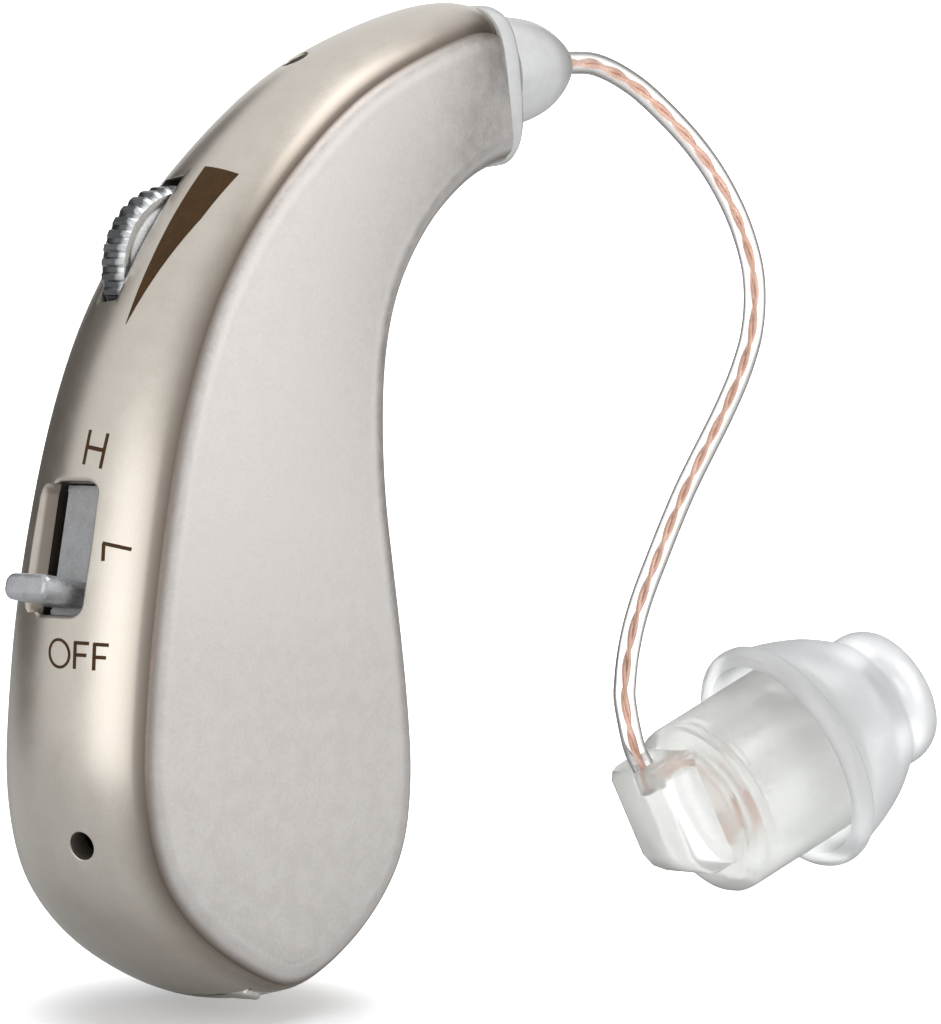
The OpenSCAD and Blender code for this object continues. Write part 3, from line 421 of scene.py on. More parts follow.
# %% Lead
route = np.array([
    (0.0111073, 0, 0.0077670), (0.0116294, 0, 0.0078219), (0.013, 0, 0.0078), (0.0142, 0, 0.0075),
    (0.0154, 0, 0.007), (0.0165, 0, 0.0064), (0.0181, 0, 0.0053), (0.0196, 0, 0.0041), (0.021, 0, 0.0027),
    (0.0222, 0, 0.0011), (0.023, 0, -0.0004), (0.0235, 0, -0.0019), (0.0236, 0, -0.0034),
    (0.0234, 0, -0.0048), (0.023, 0, -0.0059), (0.0224, 0, -0.0071), (0.0214, 0, -0.0087),
    (0.0202, 0, -0.0104), (0.0191, 0, -0.012), (0.0182, 0, -0.0135), (0.0172, 0, -0.0153),
    (0.0164, 0, -0.0168), (0.0158, 0, -0.0182), (0.0154, 0, -0.0196), (0.0152, 0, -0.0209),
    (0.0152, 0, -0.0219), (0.015928, 0.000206, -0.023875), (0.016389, 0.000121, -0.024815),
    (0.016981, 0.000011, -0.026023),
])
lead_line = spline(route / MM, 10)
lead_steps = np.linalg.norm(np.diff(lead_line, axis=0), axis=1)
lead_d = 1.05
lead = place(loft("clear_lead", tube(lead_line, lead_d / 2, 24)), "case", "lead_clear", "receiver_lead")
strand_r, helix_r, helix_pitch = 0.085, 0.075, 3.6
turns = 2 * np.pi * np.concatenate([[0], np.cumsum(lead_steps)]) / helix_pitch
strands = [
    place(loft(f"copper_strand_{i}", tube(lead_line[1:-1], strand_r, 8, turns[1:-1] + i * np.pi, helix_r)),
          "case", "copper")
    for i in range(2)
]

# %% [markdown]
# ## The shape of the case
# The spine and the concave front edge are two rows of points in the middle plane, as shares of the case's
# height. A smooth curve runs through them, and a short running average takes the kinks out of its curvature,
# so that highlights glide. Half width and crown follow along the same curve.

# %% Outline of the case
case_height, case_half_width, case_wall = 45.9, 4.7, 1.0
spine_shares = [
    (0.1253, 0.2222), (0.0763, 0.2302), (-0.0067, 0.2122), (-0.1147, 0.1692), (-0.2047, 0.1037),
    (-0.2839, 0.0251), (-0.3455, -0.0673), (-0.3857, -0.1688), (-0.4102, -0.2678), (-0.4272, -0.3598),
    (-0.4372, -0.4488), (-0.4397, -0.5378), (-0.4147, -0.6338), (-0.3517, -0.7008), (-0.2777, -0.7378),
    (-0.2177, -0.7508)]
front_shares = [
    (0.1513, 0.0702), (0.0973, 0.0597), (0.0483, 0.0372), (0, 0), (-0.0417, -0.0538), (-0.0637, -0.1108),
    (-0.0737, -0.1758), (-0.0747, -0.2528), (-0.0677, -0.3228), (-0.0577, -0.4008), (-0.0487, -0.4748),
    (-0.0457, -0.5448), (-0.0587, -0.6168), (-0.1017, -0.6788), (-0.1597, -0.7248)]
width_keys = [0, 1, 2, 3, 4, 5, 6, 7, 8, 9, 15]
width_values = [0.45, 0.55, 0.66, 0.74, 0.8, 0.85, 0.9, 0.945, 0.98, 1, 1]
crown_keys, crown_values = [0, 3, 10.5, 13, 16], [1.15, 1.55, 1.55, 1.15, 0.4]
last_t = len(spine_shares) + len(front_shares) - 1
foot_t = len(spine_shares) - 1
per_span = 20
fine_t = np.linspace(0, last_t, last_t * per_span + 1)


def eased(values, spread=6):
    """A running average with a bell-shaped weight, with the ends continued by mirroring."""
    offsets = np.arange(-3 * spread, 3 * spread + 1)
    weight = np.exp(-0.5 * (offsets / spread) ** 2)
    padded = np.pad(values, 3 * spread, mode="reflect", reflect_type="odd")
    return np.convolve(padded, weight / weight.sum(), mode="valid")


outline = spline(case_height * np.array(spine_shares + front_shares[::-1]), per_span)
outline = np.stack([eased(outline[:, 0]), eased(outline[:, 1])], 1)
slope = np.gradient(outline, axis=0)
normals = np.stack([slope[:, 1], -slope[:, 0]], 1) / np.linalg.norm(slope, axis=1)[:, None]
width_shares = np.interp(np.minimum(fine_t, last_t - fine_t), width_keys, width_values)
half_widths = eased(case_half_width * width_shares)
crowns = eased(np.interp(fine_t, crown_keys, crown_values))


def along(t, table):
    """A table's values at places t along the outline."""
    if table.ndim == 1:
        return np.interp(t, fine_t, table)
    return np.stack([np.interp(t, fine_t, column) for column in table.T], -1)


def skin(t, y, sink=0.0):
    """A point of the crowned spine: y across, and down along the normal by the round arc's drop plus sink."""
    t, y, sink = np.broadcast_arrays(t, y, sink)
    p, n = along(t, outline), along(t, normals)
    h, c = along(t, half_widths), along(t, crowns)
    r = (h * h + c * c) / (2 * c)
    drop = r - np.sqrt(np.maximum(r * r - y * y, 0)) + sink
    return np.stack([p[..., 0] - drop * n[..., 0], y, p[..., 1] - drop * n[..., 1]], -1)


def on_case(t, points, y=0.0):
    """Places points given as x up the spine, y across and z out of the case, from the crest at t."""
    p, n = along(t, outline), along(t, normals)
    q = np.asarray(points, float)
    return np.stack([p[0] + q[..., 0] * n[1] + q[..., 2] * n[0], q[..., 1] + y,
                     p[1] - q[..., 0] * n[0] + q[..., 2] * n[1]], -1)


print("outline", len(outline), "points; case", round(np.ptp(outline[:, 1]), 1), "mm tall")

# %% [markdown]
# ## The spine band
# The band is one closed section carried along the outline: a round crown that rolls down into the parting
# groove on both sides, and an inner wall. Openings are cut with tools whose mouths flare to follow a quarter
# circle, so every rim comes out rounded, as on a moulded and painted part.
#
# Light hardly reaches the parting groove and the walls of the openings, so shade is painted there: a mesh
# attribute says, point by point, how deep in one of them the paint lies, and the paint darkens by it.

# %% Band
groove_roll, groove_drop = 0.5, 0.4
painted_shade_width, painted_shade_power = 1.7, 2.4
wall_from, wall_over, wall_most, wall_half, wall_painted_shade = 0.04, 0.16, 2.2, 3, 0.8
points_at_once, crest_spans, tool_low, tool_high = 4000, 2.5, -2.0, 2.0


def band(name, t_low=0.0, t_high=float(last_t), steps=240):
    """Outer crown with rolled edges and inner wall, as closed sections from t_low to t_high."""
    t = np.linspace(t_low, t_high, steps)[:, None]
    h = along(t[:, 0], half_widths)[:, None]
    v = np.sin(np.linspace(-np.pi / 2, np.pi / 2, 49))[None, ::-1]
    near = np.clip((np.abs(v) * h - (h - groove_roll)) / groove_roll, 0, 1)
    outer = skin(t, v * h, groove_drop * (1 - np.sqrt(1 - near ** 2)))
    w = np.linspace(-1, 1, 13)[None]
    inner = skin(t, w * h, case_wall)
    return loft(name, np.concatenate([outer, inner], 1))


def rounded_outline(length, width, corner, count=64):
    """A rectangle with round corners, as points round its middle: x by y."""
    angle = np.linspace(0, 2 * np.pi, count, endpoint=False) + np.pi / count
    sx, sy = np.sign(np.cos(angle)), np.sign(np.sin(angle))
    return np.stack([sx * (length / 2 - corner) + corner * np.cos(angle),
                     sy * (width / 2 - corner) + corner * np.sin(angle)], -1)


def flared(name, t, outline_points, y, lip):
    """A cutting tool: an outline from below the wall up to the skin, where it opens by a quarter circle. The
    skin is followed round the crown, and along the crest, whose height is taken from the outline."""
    fine = np.concatenate([
        a + (b - a) * np.linspace(0, 1, int(np.linalg.norm(b - a) / 0.25) + 1, endpoint=False)[:, None]
        for a, b in zip(outline_points, np.roll(outline_points, -1, 0))])
    p, n = along(t, outline), along(t, normals)
    near = outline[np.abs(fine_t - t) < crest_spans] - p
    crest_x, crest_z = near @ [n[1], -n[0]], near @ n
    order = np.argsort(crest_x)
    depth = lip * (1 - np.sin(np.linspace(0, np.pi / 2, 7)))
    grow = lip * (1 - np.sqrt(1 - (1 - depth / lip) ** 2))
    h, c = float(along(t, half_widths)), float(along(t, crowns))
    r = (h * h + c * c) / (2 * c)
    rings = [level(fine, tool_low)]
    size = np.linalg.norm(fine, axis=1, keepdims=True)
    for d, g in zip(depth, grow):
        out = fine * (1 + g / size)
        crest = np.interp(out[:, 0], crest_x[order], crest_z[order])
        rings.append(np.column_stack([out, crest + np.sqrt(r * r - (out[:, 1] + y) ** 2) - r - d]))
    rings.append(level(rings[-1][:, :2], tool_high))
    return loft(name, on_case(t, np.array(rings), y))


def slab(name, corners, low, high):
    """A polygon in the middle plane made thick along Y."""
    p = np.asarray(corners, float)
    return loft(name, [np.column_stack([p[:, 0], np.full(len(p), y), p[:, 1]]) for y in (low, high)])


def crossways(name, at, radius, low, high, count=96):
    """A round bar along Y at a place in the middle plane."""
    return slab(name, at + circle(radius, count), low, high)


def places_of(thing):
    """The points of a piece, in millimetres."""
    points = np.empty(len(thing.data.vertices) * 3)
    thing.data.vertices.foreach_get("co", points)
    return points.reshape(-1, 3) / MM


def write_painted_shade(thing, values):
    """Stores a piece's painted shade, as a mesh attribute."""
    layer = thing.data.attributes.new("painted_shade", "FLOAT", "POINT")
    layer.data.foreach_set("value", np.clip(values, 0, 1))


def mark_painted_shade(thing, depth_of, on_walls=0.0):
    """Writes the painted shade from each point's nearest place on the outline; walls of openings take
    on_walls.
    """
    points = places_of(thing)
    painted_shade = np.empty(len(points))
    for start in range(0, len(points), points_at_once):
        part = points[start:start + points_at_once]
        away = np.linalg.norm(part[:, None, (0, 2)] - outline[None], axis=-1)
        nearest = away.argmin(1)
        y, half, crown = np.abs(part[:, 1]), half_widths[nearest], crowns[nearest]
        under = ((outline[nearest] - part[:, (0, 2)]) * normals[nearest]).sum(1)
        drop = crown * np.minimum(y / half, 1) ** 2
        wall = np.where((under < wall_most) & (y < wall_half), (under - drop - wall_from) / wall_over, 0)
        here = np.maximum(depth_of(y, under, half, crown), np.clip(wall, 0, on_walls))
        painted_shade[start:start + points_at_once] = here
    write_painted_shade(thing, painted_shade)


def groove_painted_shade(y, under, half, crown):
    """The painted shade of the band: it grows towards both sides, into the parting groove."""
    return np.clip((y - half + painted_shade_width) / painted_shade_width, 0, 1) ** painted_shade_power


neck_at, neck_rise = case_height * np.array([0.1133, 0.1557]), math.radians(6)
neck_out = np.array([math.cos(neck_rise), math.sin(neck_rise)])
ample = 12


def beyond_neck():
    """The half space past the end of the neck, as a block."""
    side, out = ample * np.array([-neck_out[1], neck_out[0]]), ample * neck_out
    return slab("neck_cut", [neck_at - side, neck_at + side, neck_at + side + out, neck_at - side + out],
                -ample, ample)


wheel_t0, slot_t0, mic_t0, vent_t0, hinge_t0, split_t0 = 5.29, 8.39, 2.92, 11.56, 20.4, 14.35
wheel_depth, wheel_r, wheel_y = 2.7, 3.75, (0.6, 2.1)
wheel_at = along(wheel_t0, outline) - wheel_depth * along(wheel_t0, normals)
pocket_r = wheel_r + 0.3
wheel_half = math.sqrt(pocket_r ** 2 - wheel_depth ** 2) + 0.42
slot_length, slot_width, slot_y = 6.0, 3.25, 0.2
scoop_r, scoop_z = 3.2, 2.45
hinge_at = np.array([-3.4904, -20.5915])
door_half, door_gap = 3.6, 0.12


def door_wedge(name, shift, half):
    """The wedge that the battery door swings out of, from its hinge to the split at the foot."""
    foot = along(split_t0 + shift, outline)
    away = along(hinge_t0, normals)
    return slab(name, [hinge_at, hinge_at + 2 * (foot - hinge_at), hinge_at + [case_height, -case_height],
                       hinge_at + case_height * away], -half, half)


shell = band("case_shell")
wheel_mid = (wheel_y[0] + wheel_y[1]) / 2
scoop = circle(scoop_r, 96)
cut(shell, [
    beyond_neck(),
    flared("wheel_slot", wheel_t0, rounded_outline(2 * wheel_half, 1.74, 0.15), wheel_mid, 0.06),
    crossways("wheel_pocket", wheel_at, pocket_r, wheel_y[0] - 0.12, wheel_y[1] + 0.12),
    flared("switch_slot", slot_t0, rounded_outline(slot_length, slot_width, 0.7), slot_y, 0.22),
    loft("thumb_scoop", on_case(slot_t0, np.array([
        np.column_stack([np.full(96, x), scoop[:, 0] * k, scoop_z + scoop[:, 1] * k])
        for x, k in ((-2.91, 0.93), (-2.7, 0.985), (-2.4, 1), (2.4, 1), (2.7, 0.985), (2.91, 0.93))]),
        slot_y + slot_width / 2)),
    flared("mic_hole", mic_t0, circle(0.62), 0.75, 0.1),
    flared("vent_hole", vent_t0, circle(0.65), -1.48, 0.06),
    door_wedge("door_way", 0, door_half + door_gap),
    crossways("hinge_way", hinge_at, 1.4, -door_half - door_gap, door_half + door_gap),
], sharp=50)
# Painted shade in the parting groove and on the walls of the openings.
mark_painted_shade(shell, groove_painted_shade, wall_painted_shade)
place(shell, "case", "case_paint", "case_frame")

# %% [markdown]
# ## Printed marks
# The marks beside the switch and the wheel are a thin layer of brown ink: OFF, L and H, and a wedge for the
# volume. A stroke is a strip between two places on the skin, given as place along the outline and distance
# across. Every mark is laid on the skin as a closed sheet a few hundredths of a millimetre thick, so it
# follows the crown.


# %% Ink
ink_rise, ink_sink = 0.012, 0.03
stroke_width, round_stroke = 0.17, 0.14


def printed(name, grids):
    """Closed sheets over grids of places: a top a hair above the skin, and a bottom just inside it."""
    points, faces, start = [], [], 0
    for places in grids:
        rows, columns = places.shape[:2]
        sheet = np.stack([skin(places[..., 0], places[..., 1], -ink_rise),
                          skin(places[..., 0], places[..., 1], ink_sink)])
        ring = np.concatenate([np.arange(columns), np.arange(1, rows) * columns + columns - 1,
                               np.arange(columns - 2, -1, -1) + (rows - 1) * columns,
                               np.arange(rows - 2, 0, -1) * columns])
        under = rows * columns
        flat = np.array(grid_faces(rows, columns, close_columns=False))
        after = np.roll(ring, -1)
        walls = np.stack([ring, after, after + under, ring + under], 1)
        faces += (np.concatenate([flat, flat[:, ::-1] + under, walls]) + start).tolist()
        points.append(sheet.reshape(-1, 3))
        start += 2 * under
    thing = solid(name, np.concatenate(points), faces)
    return place(thing, "case", "case_paint", material=ink)


def stroke(first, last):
    """A straight strip between two places; one step along the outline is step_length millimetres."""
    a, b = np.array(first), np.array(last)
    scale = np.array([step_length, 1.0])
    way = (b - a) * scale
    way /= np.linalg.norm(way)
    side = np.array([-way[1], way[0]]) / scale * stroke_width / 2
    u = np.linspace(0, 1, 12)[:, None, None]
    w = np.array([-1, 0, 1])[None, :, None]
    return a + (b - a) * u + side * w


step_length = float(np.linalg.norm(along(9.0, outline) - along(8.0, outline)))
turn_o = np.linspace(0, 2 * np.pi, 49)[:, None]
inward = np.linspace(0, round_stroke, 3)
o_shape = np.stack([
    9.515 + (0.165 - inward / step_length) * np.cos(turn_o) - 0.003 * np.sin(turn_o),
    -0.377 - 0.097 * np.cos(turn_o) + (0.7 - inward) * np.sin(turn_o)], -1)
marks = {
    "print_high": [stroke((7.216, -0.334), (7.552, -0.319)), stroke((7.24, -1.409), (7.583, -1.354)),
                   stroke((7.38, -0.34), (7.408, -1.39))],
    "print_low": [stroke((8.322, -2.12), (8.359, -3.496)), stroke((8.322, -2.18), (8.506, -2.265))],
    "print_off": [o_shape, stroke((9.38, -1.3), (9.674, -1.37)), stroke((9.392, -1.24), (9.392, -2.047)),
                  stroke((9.522, -1.3), (9.522, -1.962)), stroke((9.386, -2.33), (9.68, -2.39)),
                  stroke((9.396, -2.27), (9.396, -3.013)), stroke((9.535, -2.33), (9.535, -2.935))],
}
for mark, grids in marks.items():
    printed(mark, grids)
wedge_t = np.linspace(4.505, 6.207, 40)[:, None]
wedge_left = np.interp(wedge_t, [4.525, 5.167, 5.559, 6.207], [-0.467, -0.58, -0.66, -0.731])
wedge_right = np.interp(wedge_t, [4.489, 5.069, 5.559, 6.207], [-2.359, -2.055, -1.487, -0.745])
wedge_u = np.linspace(0, 1, 12)[None]
wedge_y = wedge_left * (1 - wedge_u) + wedge_right * wedge_u
printed("print_volume", [np.stack([wedge_t + 0 * wedge_u, wedge_y], -1)])

# %% [markdown]
# ## Side panels
# Each panel fills the outline inside the parting groove. Every station joins a point of the spine to its
# partner on the front edge: the edge rises as a rounded bead, the middle is very slightly domed, and the
# underside closes it. The two edges meet at the foot, where the sections shrink to a seam.

# %% Panels
edge_round, panel_rise, panel_lip = 1.15, 0.4, 0.5
edge_gap, edge_sink, panel_under = 0.1, 0.25, 1.05
bead_shade_depth, bead_over, dome_share = 0.5, 0.36, 0.012


def panel(name, side):
    """Closed sections from the neck to the foot: bead, domed middle, bead, and the flat underside."""
    s = np.concatenate([np.linspace(0, foot_t - 1, 150, endpoint=False),
                        foot_t - 1 + np.sin(np.linspace(0, np.pi / 2, 40))])[:, None]
    u = np.linspace(0, 1, 14)[None]
    d = edge_gap + (edge_round - edge_gap) * (1 - np.cos(u * np.pi / 2))
    rise = (panel_rise + edge_sink) * np.sin(u * np.pi / 2) ** 0.9 - edge_sink

    def rim(t, depth):
        p, n, c = along(t, outline), along(t, normals), along(t, crowns)[..., None]
        return p - n * (c + depth[..., None])

    h = along(s, half_widths)[..., None]
    every_s, every_d = np.broadcast_arrays(s, d)
    one, two = rim(every_s, every_d), rim(last_t - every_s, every_d)
    w = np.linspace(0, 1, 34)[None, 1:-1, None]
    a, b = one[:, -1:], two[:, -1:]
    span = np.linalg.norm(b - a, axis=-1, keepdims=True)
    top = a * (1 - w) + b * w
    dome = panel_rise + dome_share * span * (1 - (2 * w - 1) ** 2)
    deep = np.full_like(s, panel_under)
    low_one, low_two = rim(s, deep), rim(last_t - s, deep)
    parts = [(one, h + rise[..., None]), (top, h + dome), (two[:, ::-1], h + rise[:, ::-1, None]),
             (low_two, h - panel_lip), (low_one, h - panel_lip)]
    rings = np.concatenate([
        np.stack([xz[..., 0], side * np.broadcast_to(y, xz[..., :1].shape)[..., 0], xz[..., 1]], -1)
        for xz, y in parts], 1)
    thing = cut(loft(name, rings), [beyond_neck()])
    # Painted shade along the bead, next to the parting groove.
    mark_painted_shade(thing, lambda y, under, half, crown: (crown + bead_shade_depth - under) / bead_over)
    return thing


place(panel("right_panel", -1), "case", "cover_paint", "right_cover")
place(panel("left_panel", 1), "case", "cover_paint", "left_cover")

# %% [markdown]
# ## Battery door
# The door is the piece of the band between the hinge and the foot, with a hinge barrel, a ring that holds the
# cell, and a nail grip under the foot. It swings out at the front of the bulb.

# %% Door
battery_r, ring_wall, cell_gap, pin_hole_r = 3.95, 0.75, 0.05, 0.46
battery_at = np.array([-8.282, -27.702])
door = band("battery_hatch", split_t0 - 1, hinge_t0 + 1, 120)
cut(door, [door_wedge("door_keep", 0.06, door_half)], "INTERSECT")
tray = cut(crossways("tray", battery_at, battery_r + cell_gap + ring_wall, -2.7, 2.7),
           [door_wedge("tray_keep", 0.2, 5)], "INTERSECT")
grip = loft("grip", on_case(split_t0 + 0.06, np.array([
    level(rounded_outline(1.0 - k, 2.1 - k, 0.3, 32) + [-0.5, -2.45], z)
    for z, k in ((-1.25, 0), (-0.3, 0), (-0.2, 0.06), (-0.14, 0.2))])))
place(grip, "battery_door", "cover_paint")
cut(door, [crossways("barrel", hinge_at, 1.0, -door_half, door_half), tray], "UNION")
cut(door, [crossways("cell_space", battery_at, battery_r + cell_gap, -ample, ample),
           crossways("pin_space", hinge_at, pin_hole_r, -ample, ample)], sharp=50)
# Painted shade in the parting groove, as on the band.
mark_painted_shade(door, groove_painted_shade)
place(door, "battery_door", "case_paint", "battery_door")

# %% [markdown]
# ## Volume wheel
# A knurled wheel: a closed profile is turned round its screw, and near the rim the radius dips at every tooth
# gap. The dips fade towards the side faces, so the chamfered edge looks scalloped. The rim takes painted
# shade, a darker tint than the bright side faces, by a mesh attribute.

# %% Wheel
teeth, tooth_depth = 34, 0.13
rim_from, rim_half, rim_over = 3.3, 0.66, 0.2
turn = np.linspace(0, 2 * np.pi, teeth * 12, endpoint=False)[:, None]
y0, y1 = wheel_y
profile = np.array([(0.66, y0), (2.9, y0), (3.0, y0 + 0.05), (3.1, y0 + 0.05), (3.2, y0), (3.45, y0),
                    (3.6, y0 + 0.12), (wheel_r, y0 + 0.32), (wheel_r, y1 - 0.32), (3.6, y1 - 0.12),
                    (3.45, y1), (3.2, y1), (3.1, y1 - 0.05), (3.0, y1 - 0.05), (2.9, y1), (0.66, y1)])
reach = np.clip((profile[:, 0] - 3.4) / 0.3, 0, 1)[None]
gap = np.clip(0.5 + 1.1 * np.cos(teeth * turn), 0, 1)
radius = profile[None, :, 0] - tooth_depth * reach * gap
rings = np.stack([wheel_at[0] + radius * np.cos(turn), profile[None, :, 1] + 0 * radius,
                  wheel_at[1] + radius * np.sin(turn)], -1)
wheel = solid("knurled_wheel", rings, grid_faces(len(turn), len(profile), close_rows=True), 35)
wheel_points = places_of(wheel)
from_mid = np.abs(wheel_points[:, 1] - wheel_mid)
from_screw = np.linalg.norm(wheel_points[:, (0, 2)] - wheel_at, axis=1)
# Painted shade on the rim, darkest across its middle.
write_painted_shade(wheel, np.where(from_screw > rim_from, (rim_half - from_mid) / rim_over, 0))
place(wheel, "volume_wheel", "wheel_silver", "volume_wheel")

# %% [markdown]
# ## Switch lever
# The lever's bar is a rounded block that stands out of the slot, with a fully round far end; under it a thin
# neck passes the plate and carries the foot that slides in the switch body.


# %% Lever
def rounded_block(name, t, x, y, z, corner, edge):
    """A block on the case with round corners, and a quarter round along its upper edge."""
    length, width = x[1] - x[0], y[1] - y[0]
    middle = [(x[0] + x[1]) / 2, (y[0] + y[1]) / 2]
    rings = []
    for a in np.linspace(0, np.pi / 2, 7):
        inset = edge * (1 - np.cos(a))
        line = rounded_outline(length - 2 * inset, width - 2 * inset, max(corner - inset, 0.02))
        rings.append(level(line + middle, z[1] - edge + edge * np.sin(a)))
    rings.insert(0, level(rings[0][:, :2], z[0]))
    return loft(name, on_case(t, np.array(rings)))


lever_x = (-2.6, -1.4)
lever = rounded_block("switch_bar", slot_t0, lever_x, (-0.9, 2.0), (-0.84, 1.6), 0.5, 0.3)
cut(lever, [
    rounded_block("lever_neck", slot_t0, lever_x, (1.4, 1.76), (-2.35, -0.6), 0.05, 0.02),
    rounded_block("lever_foot", slot_t0, lever_x, (0.2, 1.76), (-2.35, -1.72), 0.05, 0.02),
], "UNION")
place(lever, "switch_lever", "lever_silver", "switch_lever")

# %% [markdown]
# ## Collar and cone
# The translucent collar repeats the section of the neck as a thin plate with a soft outer edge, and the cone
# that the lead leaves from is a turned profile on it.


# %% Collar and cone
def at_neck(points):
    """From the neck's own axes, x down, y across and z along the lead's exit, to the frame."""
    q = np.asarray(points, float)
    down = np.array([neck_out[1], -neck_out[0]])
    xz = neck_at + q[..., :1] * down + q[..., 2:3] * neck_out
    return np.stack([xz[..., 0], q[..., 1], xz[..., 1]], -1)


def turned(profile, sides, to_frame):
    """A profile of radius and height turned round its axis, closed where it meets the axis."""
    p = np.asarray(profile, float)
    angle = np.linspace(0, 2 * np.pi, sides, endpoint=False)[:, None]
    ring = np.stack([p[:, 0] * np.cos(angle), p[:, 0] * np.sin(angle), p[:, 1] + 0 * angle], -1)
    is_tube = bool(p[0, 0] > 0 or p[-1, 0] > 0)
    return to_frame(ring), grid_faces(sides, len(p), close_rows=True, close_columns=is_tube)


top_t, bottom_t = 0.3, last_t - 0.7
neck_top = np.linalg.norm(along(top_t, outline) - neck_at)
neck_bottom = np.linalg.norm(along(bottom_t, outline) - neck_at)
neck_middle = np.array([(neck_bottom - neck_top) / 2, 0])
neck_size = np.array([(neck_top + neck_bottom) / 2, float(along(top_t, half_widths)) + panel_rise])
round_line = circle(1, 96)
squareness = 2 / 3.1
section = neck_middle + neck_size * np.sign(round_line) * np.abs(round_line) ** squareness
collar_steps = ((0.02, 0.03), (0.06, 0.005), (0.2, 0), (0.75, 0), (0.93, 0.03), (1.02, 0.09), (1.02, 0.3))
collar = loft("clear_collar", at_neck([level(section * (1 - k), z) for z, k in collar_steps]))
place(collar, "case", "collar_clear", "neck_collar")
cone_z, cone_end = 1.04, 5.94
cone_line = spline([(2.6, 0), (2.57, 0.8), (2.45, 1.8), (2.2, 2.8), (1.75, 3.7), (1.25, 4.4), (0.86, 4.8)], 6)
cone_line = np.vstack([[(0, cone_z)], cone_line + [0, cone_z], [(0.7, cone_end), (0, cone_end)]])
points, faces = turned(cone_line, 64, at_neck)
place(solid("clear_cone", points, faces), "case", "collar_clear", "lead_cone")

# %% [markdown]
# ## Receiver
# A clear housing holds the metal can that makes the sound. The housing is a turned shell with a square block
# at its back, where the lead goes in; inside, copper ends of the strands reach the can's rear face. Each
# profile is a row of radius and height pairs.


# %% Receiver housing
receiver_at = np.array([19.2, -0.4, -27.3])
receiver_axis = np.array([0.879949, -0.163089, 0.446198])
receiver_up = np.array([-0.438726, 0.0813131, 0.894934])
receiver_side = np.cross(receiver_axis, -receiver_up)


def at_receiver(points):
    """From the receiver's own axes, x below, y across and z along it to the nose, to the frame."""
    q = np.asarray(points, float)
    return receiver_at - q[..., :1] * receiver_up + q[..., 1:2] * receiver_side + q[..., 2:3] * receiver_axis


housing_r, housing_in, housing_end = 4.3, 3.7, 7.6
outer = [(0, 0), (3.4, 0), (3.75, 0.06), (4.08, 0.24), (4.25, 0.5), (housing_r, 0.8), (housing_r, 7.45),
         (4.22, 7.57), (4.1, housing_end), (3.8, housing_end), (housing_in, 7.5)]
ridges = [(housing_in, 2.2), (3.55, 2.05), (3.55, 1.85), (housing_in, 1.7), (3.55, 1.55), (3.55, 1.35),
          (3.65, 1.2), (3.4, 1.02), (2.9, 1.0), (2.8, 1.12), (2.6, 1.12), (2.5, 1.0), (0, 1.0)]
points, faces = turned(outer + ridges, 96, at_receiver)
housing = solid("clear_housing", points, faces)
block_line = np.array([(-3.5, 0.6), (-3.5, -1.7), (-3.38, -2.02), (-3.1, -2.2), (1.0, -2.2), (1.7, -1.95),
                       (2.2, -1.45), (2.4, -0.9), (2.4, 0.6)])
block_middle = np.array([0.55, -0.8])
block_rings = []
for y, k in ((-2.1, 0.3), (-2.02, 0.12), (-1.8, 0), (1.8, 0), (2.02, 0.12), (2.1, 0.3)):
    shrunk = (block_line - block_middle) * (1 - k / 3) + block_middle
    block_rings.append(np.stack([shrunk[:, 0], np.full(len(shrunk), y), shrunk[:, 1]], -1))
cut(housing, [loft("block", at_receiver(np.array(block_rings)))], "UNION")
lead_z, socket_r, wire_x, wire_way_r = -1.45, 0.575, -2.55, 0.35
mouth = circle(socket_r, 32)
socket = loft("socket", at_receiver(np.array([
    np.stack([np.full(32, x), mouth[:, 0], mouth[:, 1] + lead_z], -1) for x in (-2.15, -6)])))
wire_way = loft("wire_way", at_receiver(np.array([
    level(circle(wire_way_r, 24) + [wire_x, 0], z) for z in (lead_z, 1.4)])))
cut(housing, [socket, wire_way], sharp=35)
place(housing, "case", "housing_clear", "receiver_housing")

# %% Metal can and its copper ends
can_line = [(0, 2.0), (2.55, 2.0), (2.8, 2.05), (2.92, 2.18), (2.95, 2.35), (2.95, 6.2), (3.0, 6.38),
            (3.6, 6.5), (3.65, 6.55), (3.65, 6.9), (0.75, 6.9), (0.75, 6.6), (2.65, 6.6), (2.65, 2.3),
            (0, 2.3)]
points, faces = turned(can_line, 96, at_receiver)
can = place(solid("metal_can", points, faces, 30), "case", "can_steel", "receiver_can")
ends = []
for i, (x, y) in enumerate(((0.6, -1.5), (1.6, 0.6))):
    line = spline([(-2.5, -0.1 + 0.2 * i, -0.9), (-2.5, -0.1 + 0.2 * i, 0.4), (-1.9, y / 3, 1.35),
                   (-0.6 + x / 3, y * 0.8, 1.55), (x, y, 1.75)], 10)
    ends.append(loft(f"wire_end_{i}", tube(at_receiver(line), 0.13, 10)))
    pad = [level(rounded_outline(1.5 - k, 0.9 - k, 0.2, 32) + [x, y], z)
           for z, k in ((1.99, 0), (1.78, 0), (1.7, 0.1), (1.66, 0.3))]
    ends.append(loft(f"pad_{i}", at_receiver(pad)))
wire_ends = cut(ends[0], ends[1:], "UNION")
wire_ends.name = "wire_ends"
place(wire_ends, "case", "copper", "receiver_wires")

# %% [markdown]
# ## Ear tip
# One soft silicone moulding: a skirt with a rolled bead at its rim, a bell, and a blunt nose round the sound
# nozzle. Its section is drawn as a closed line and turned round the receiver's axis.

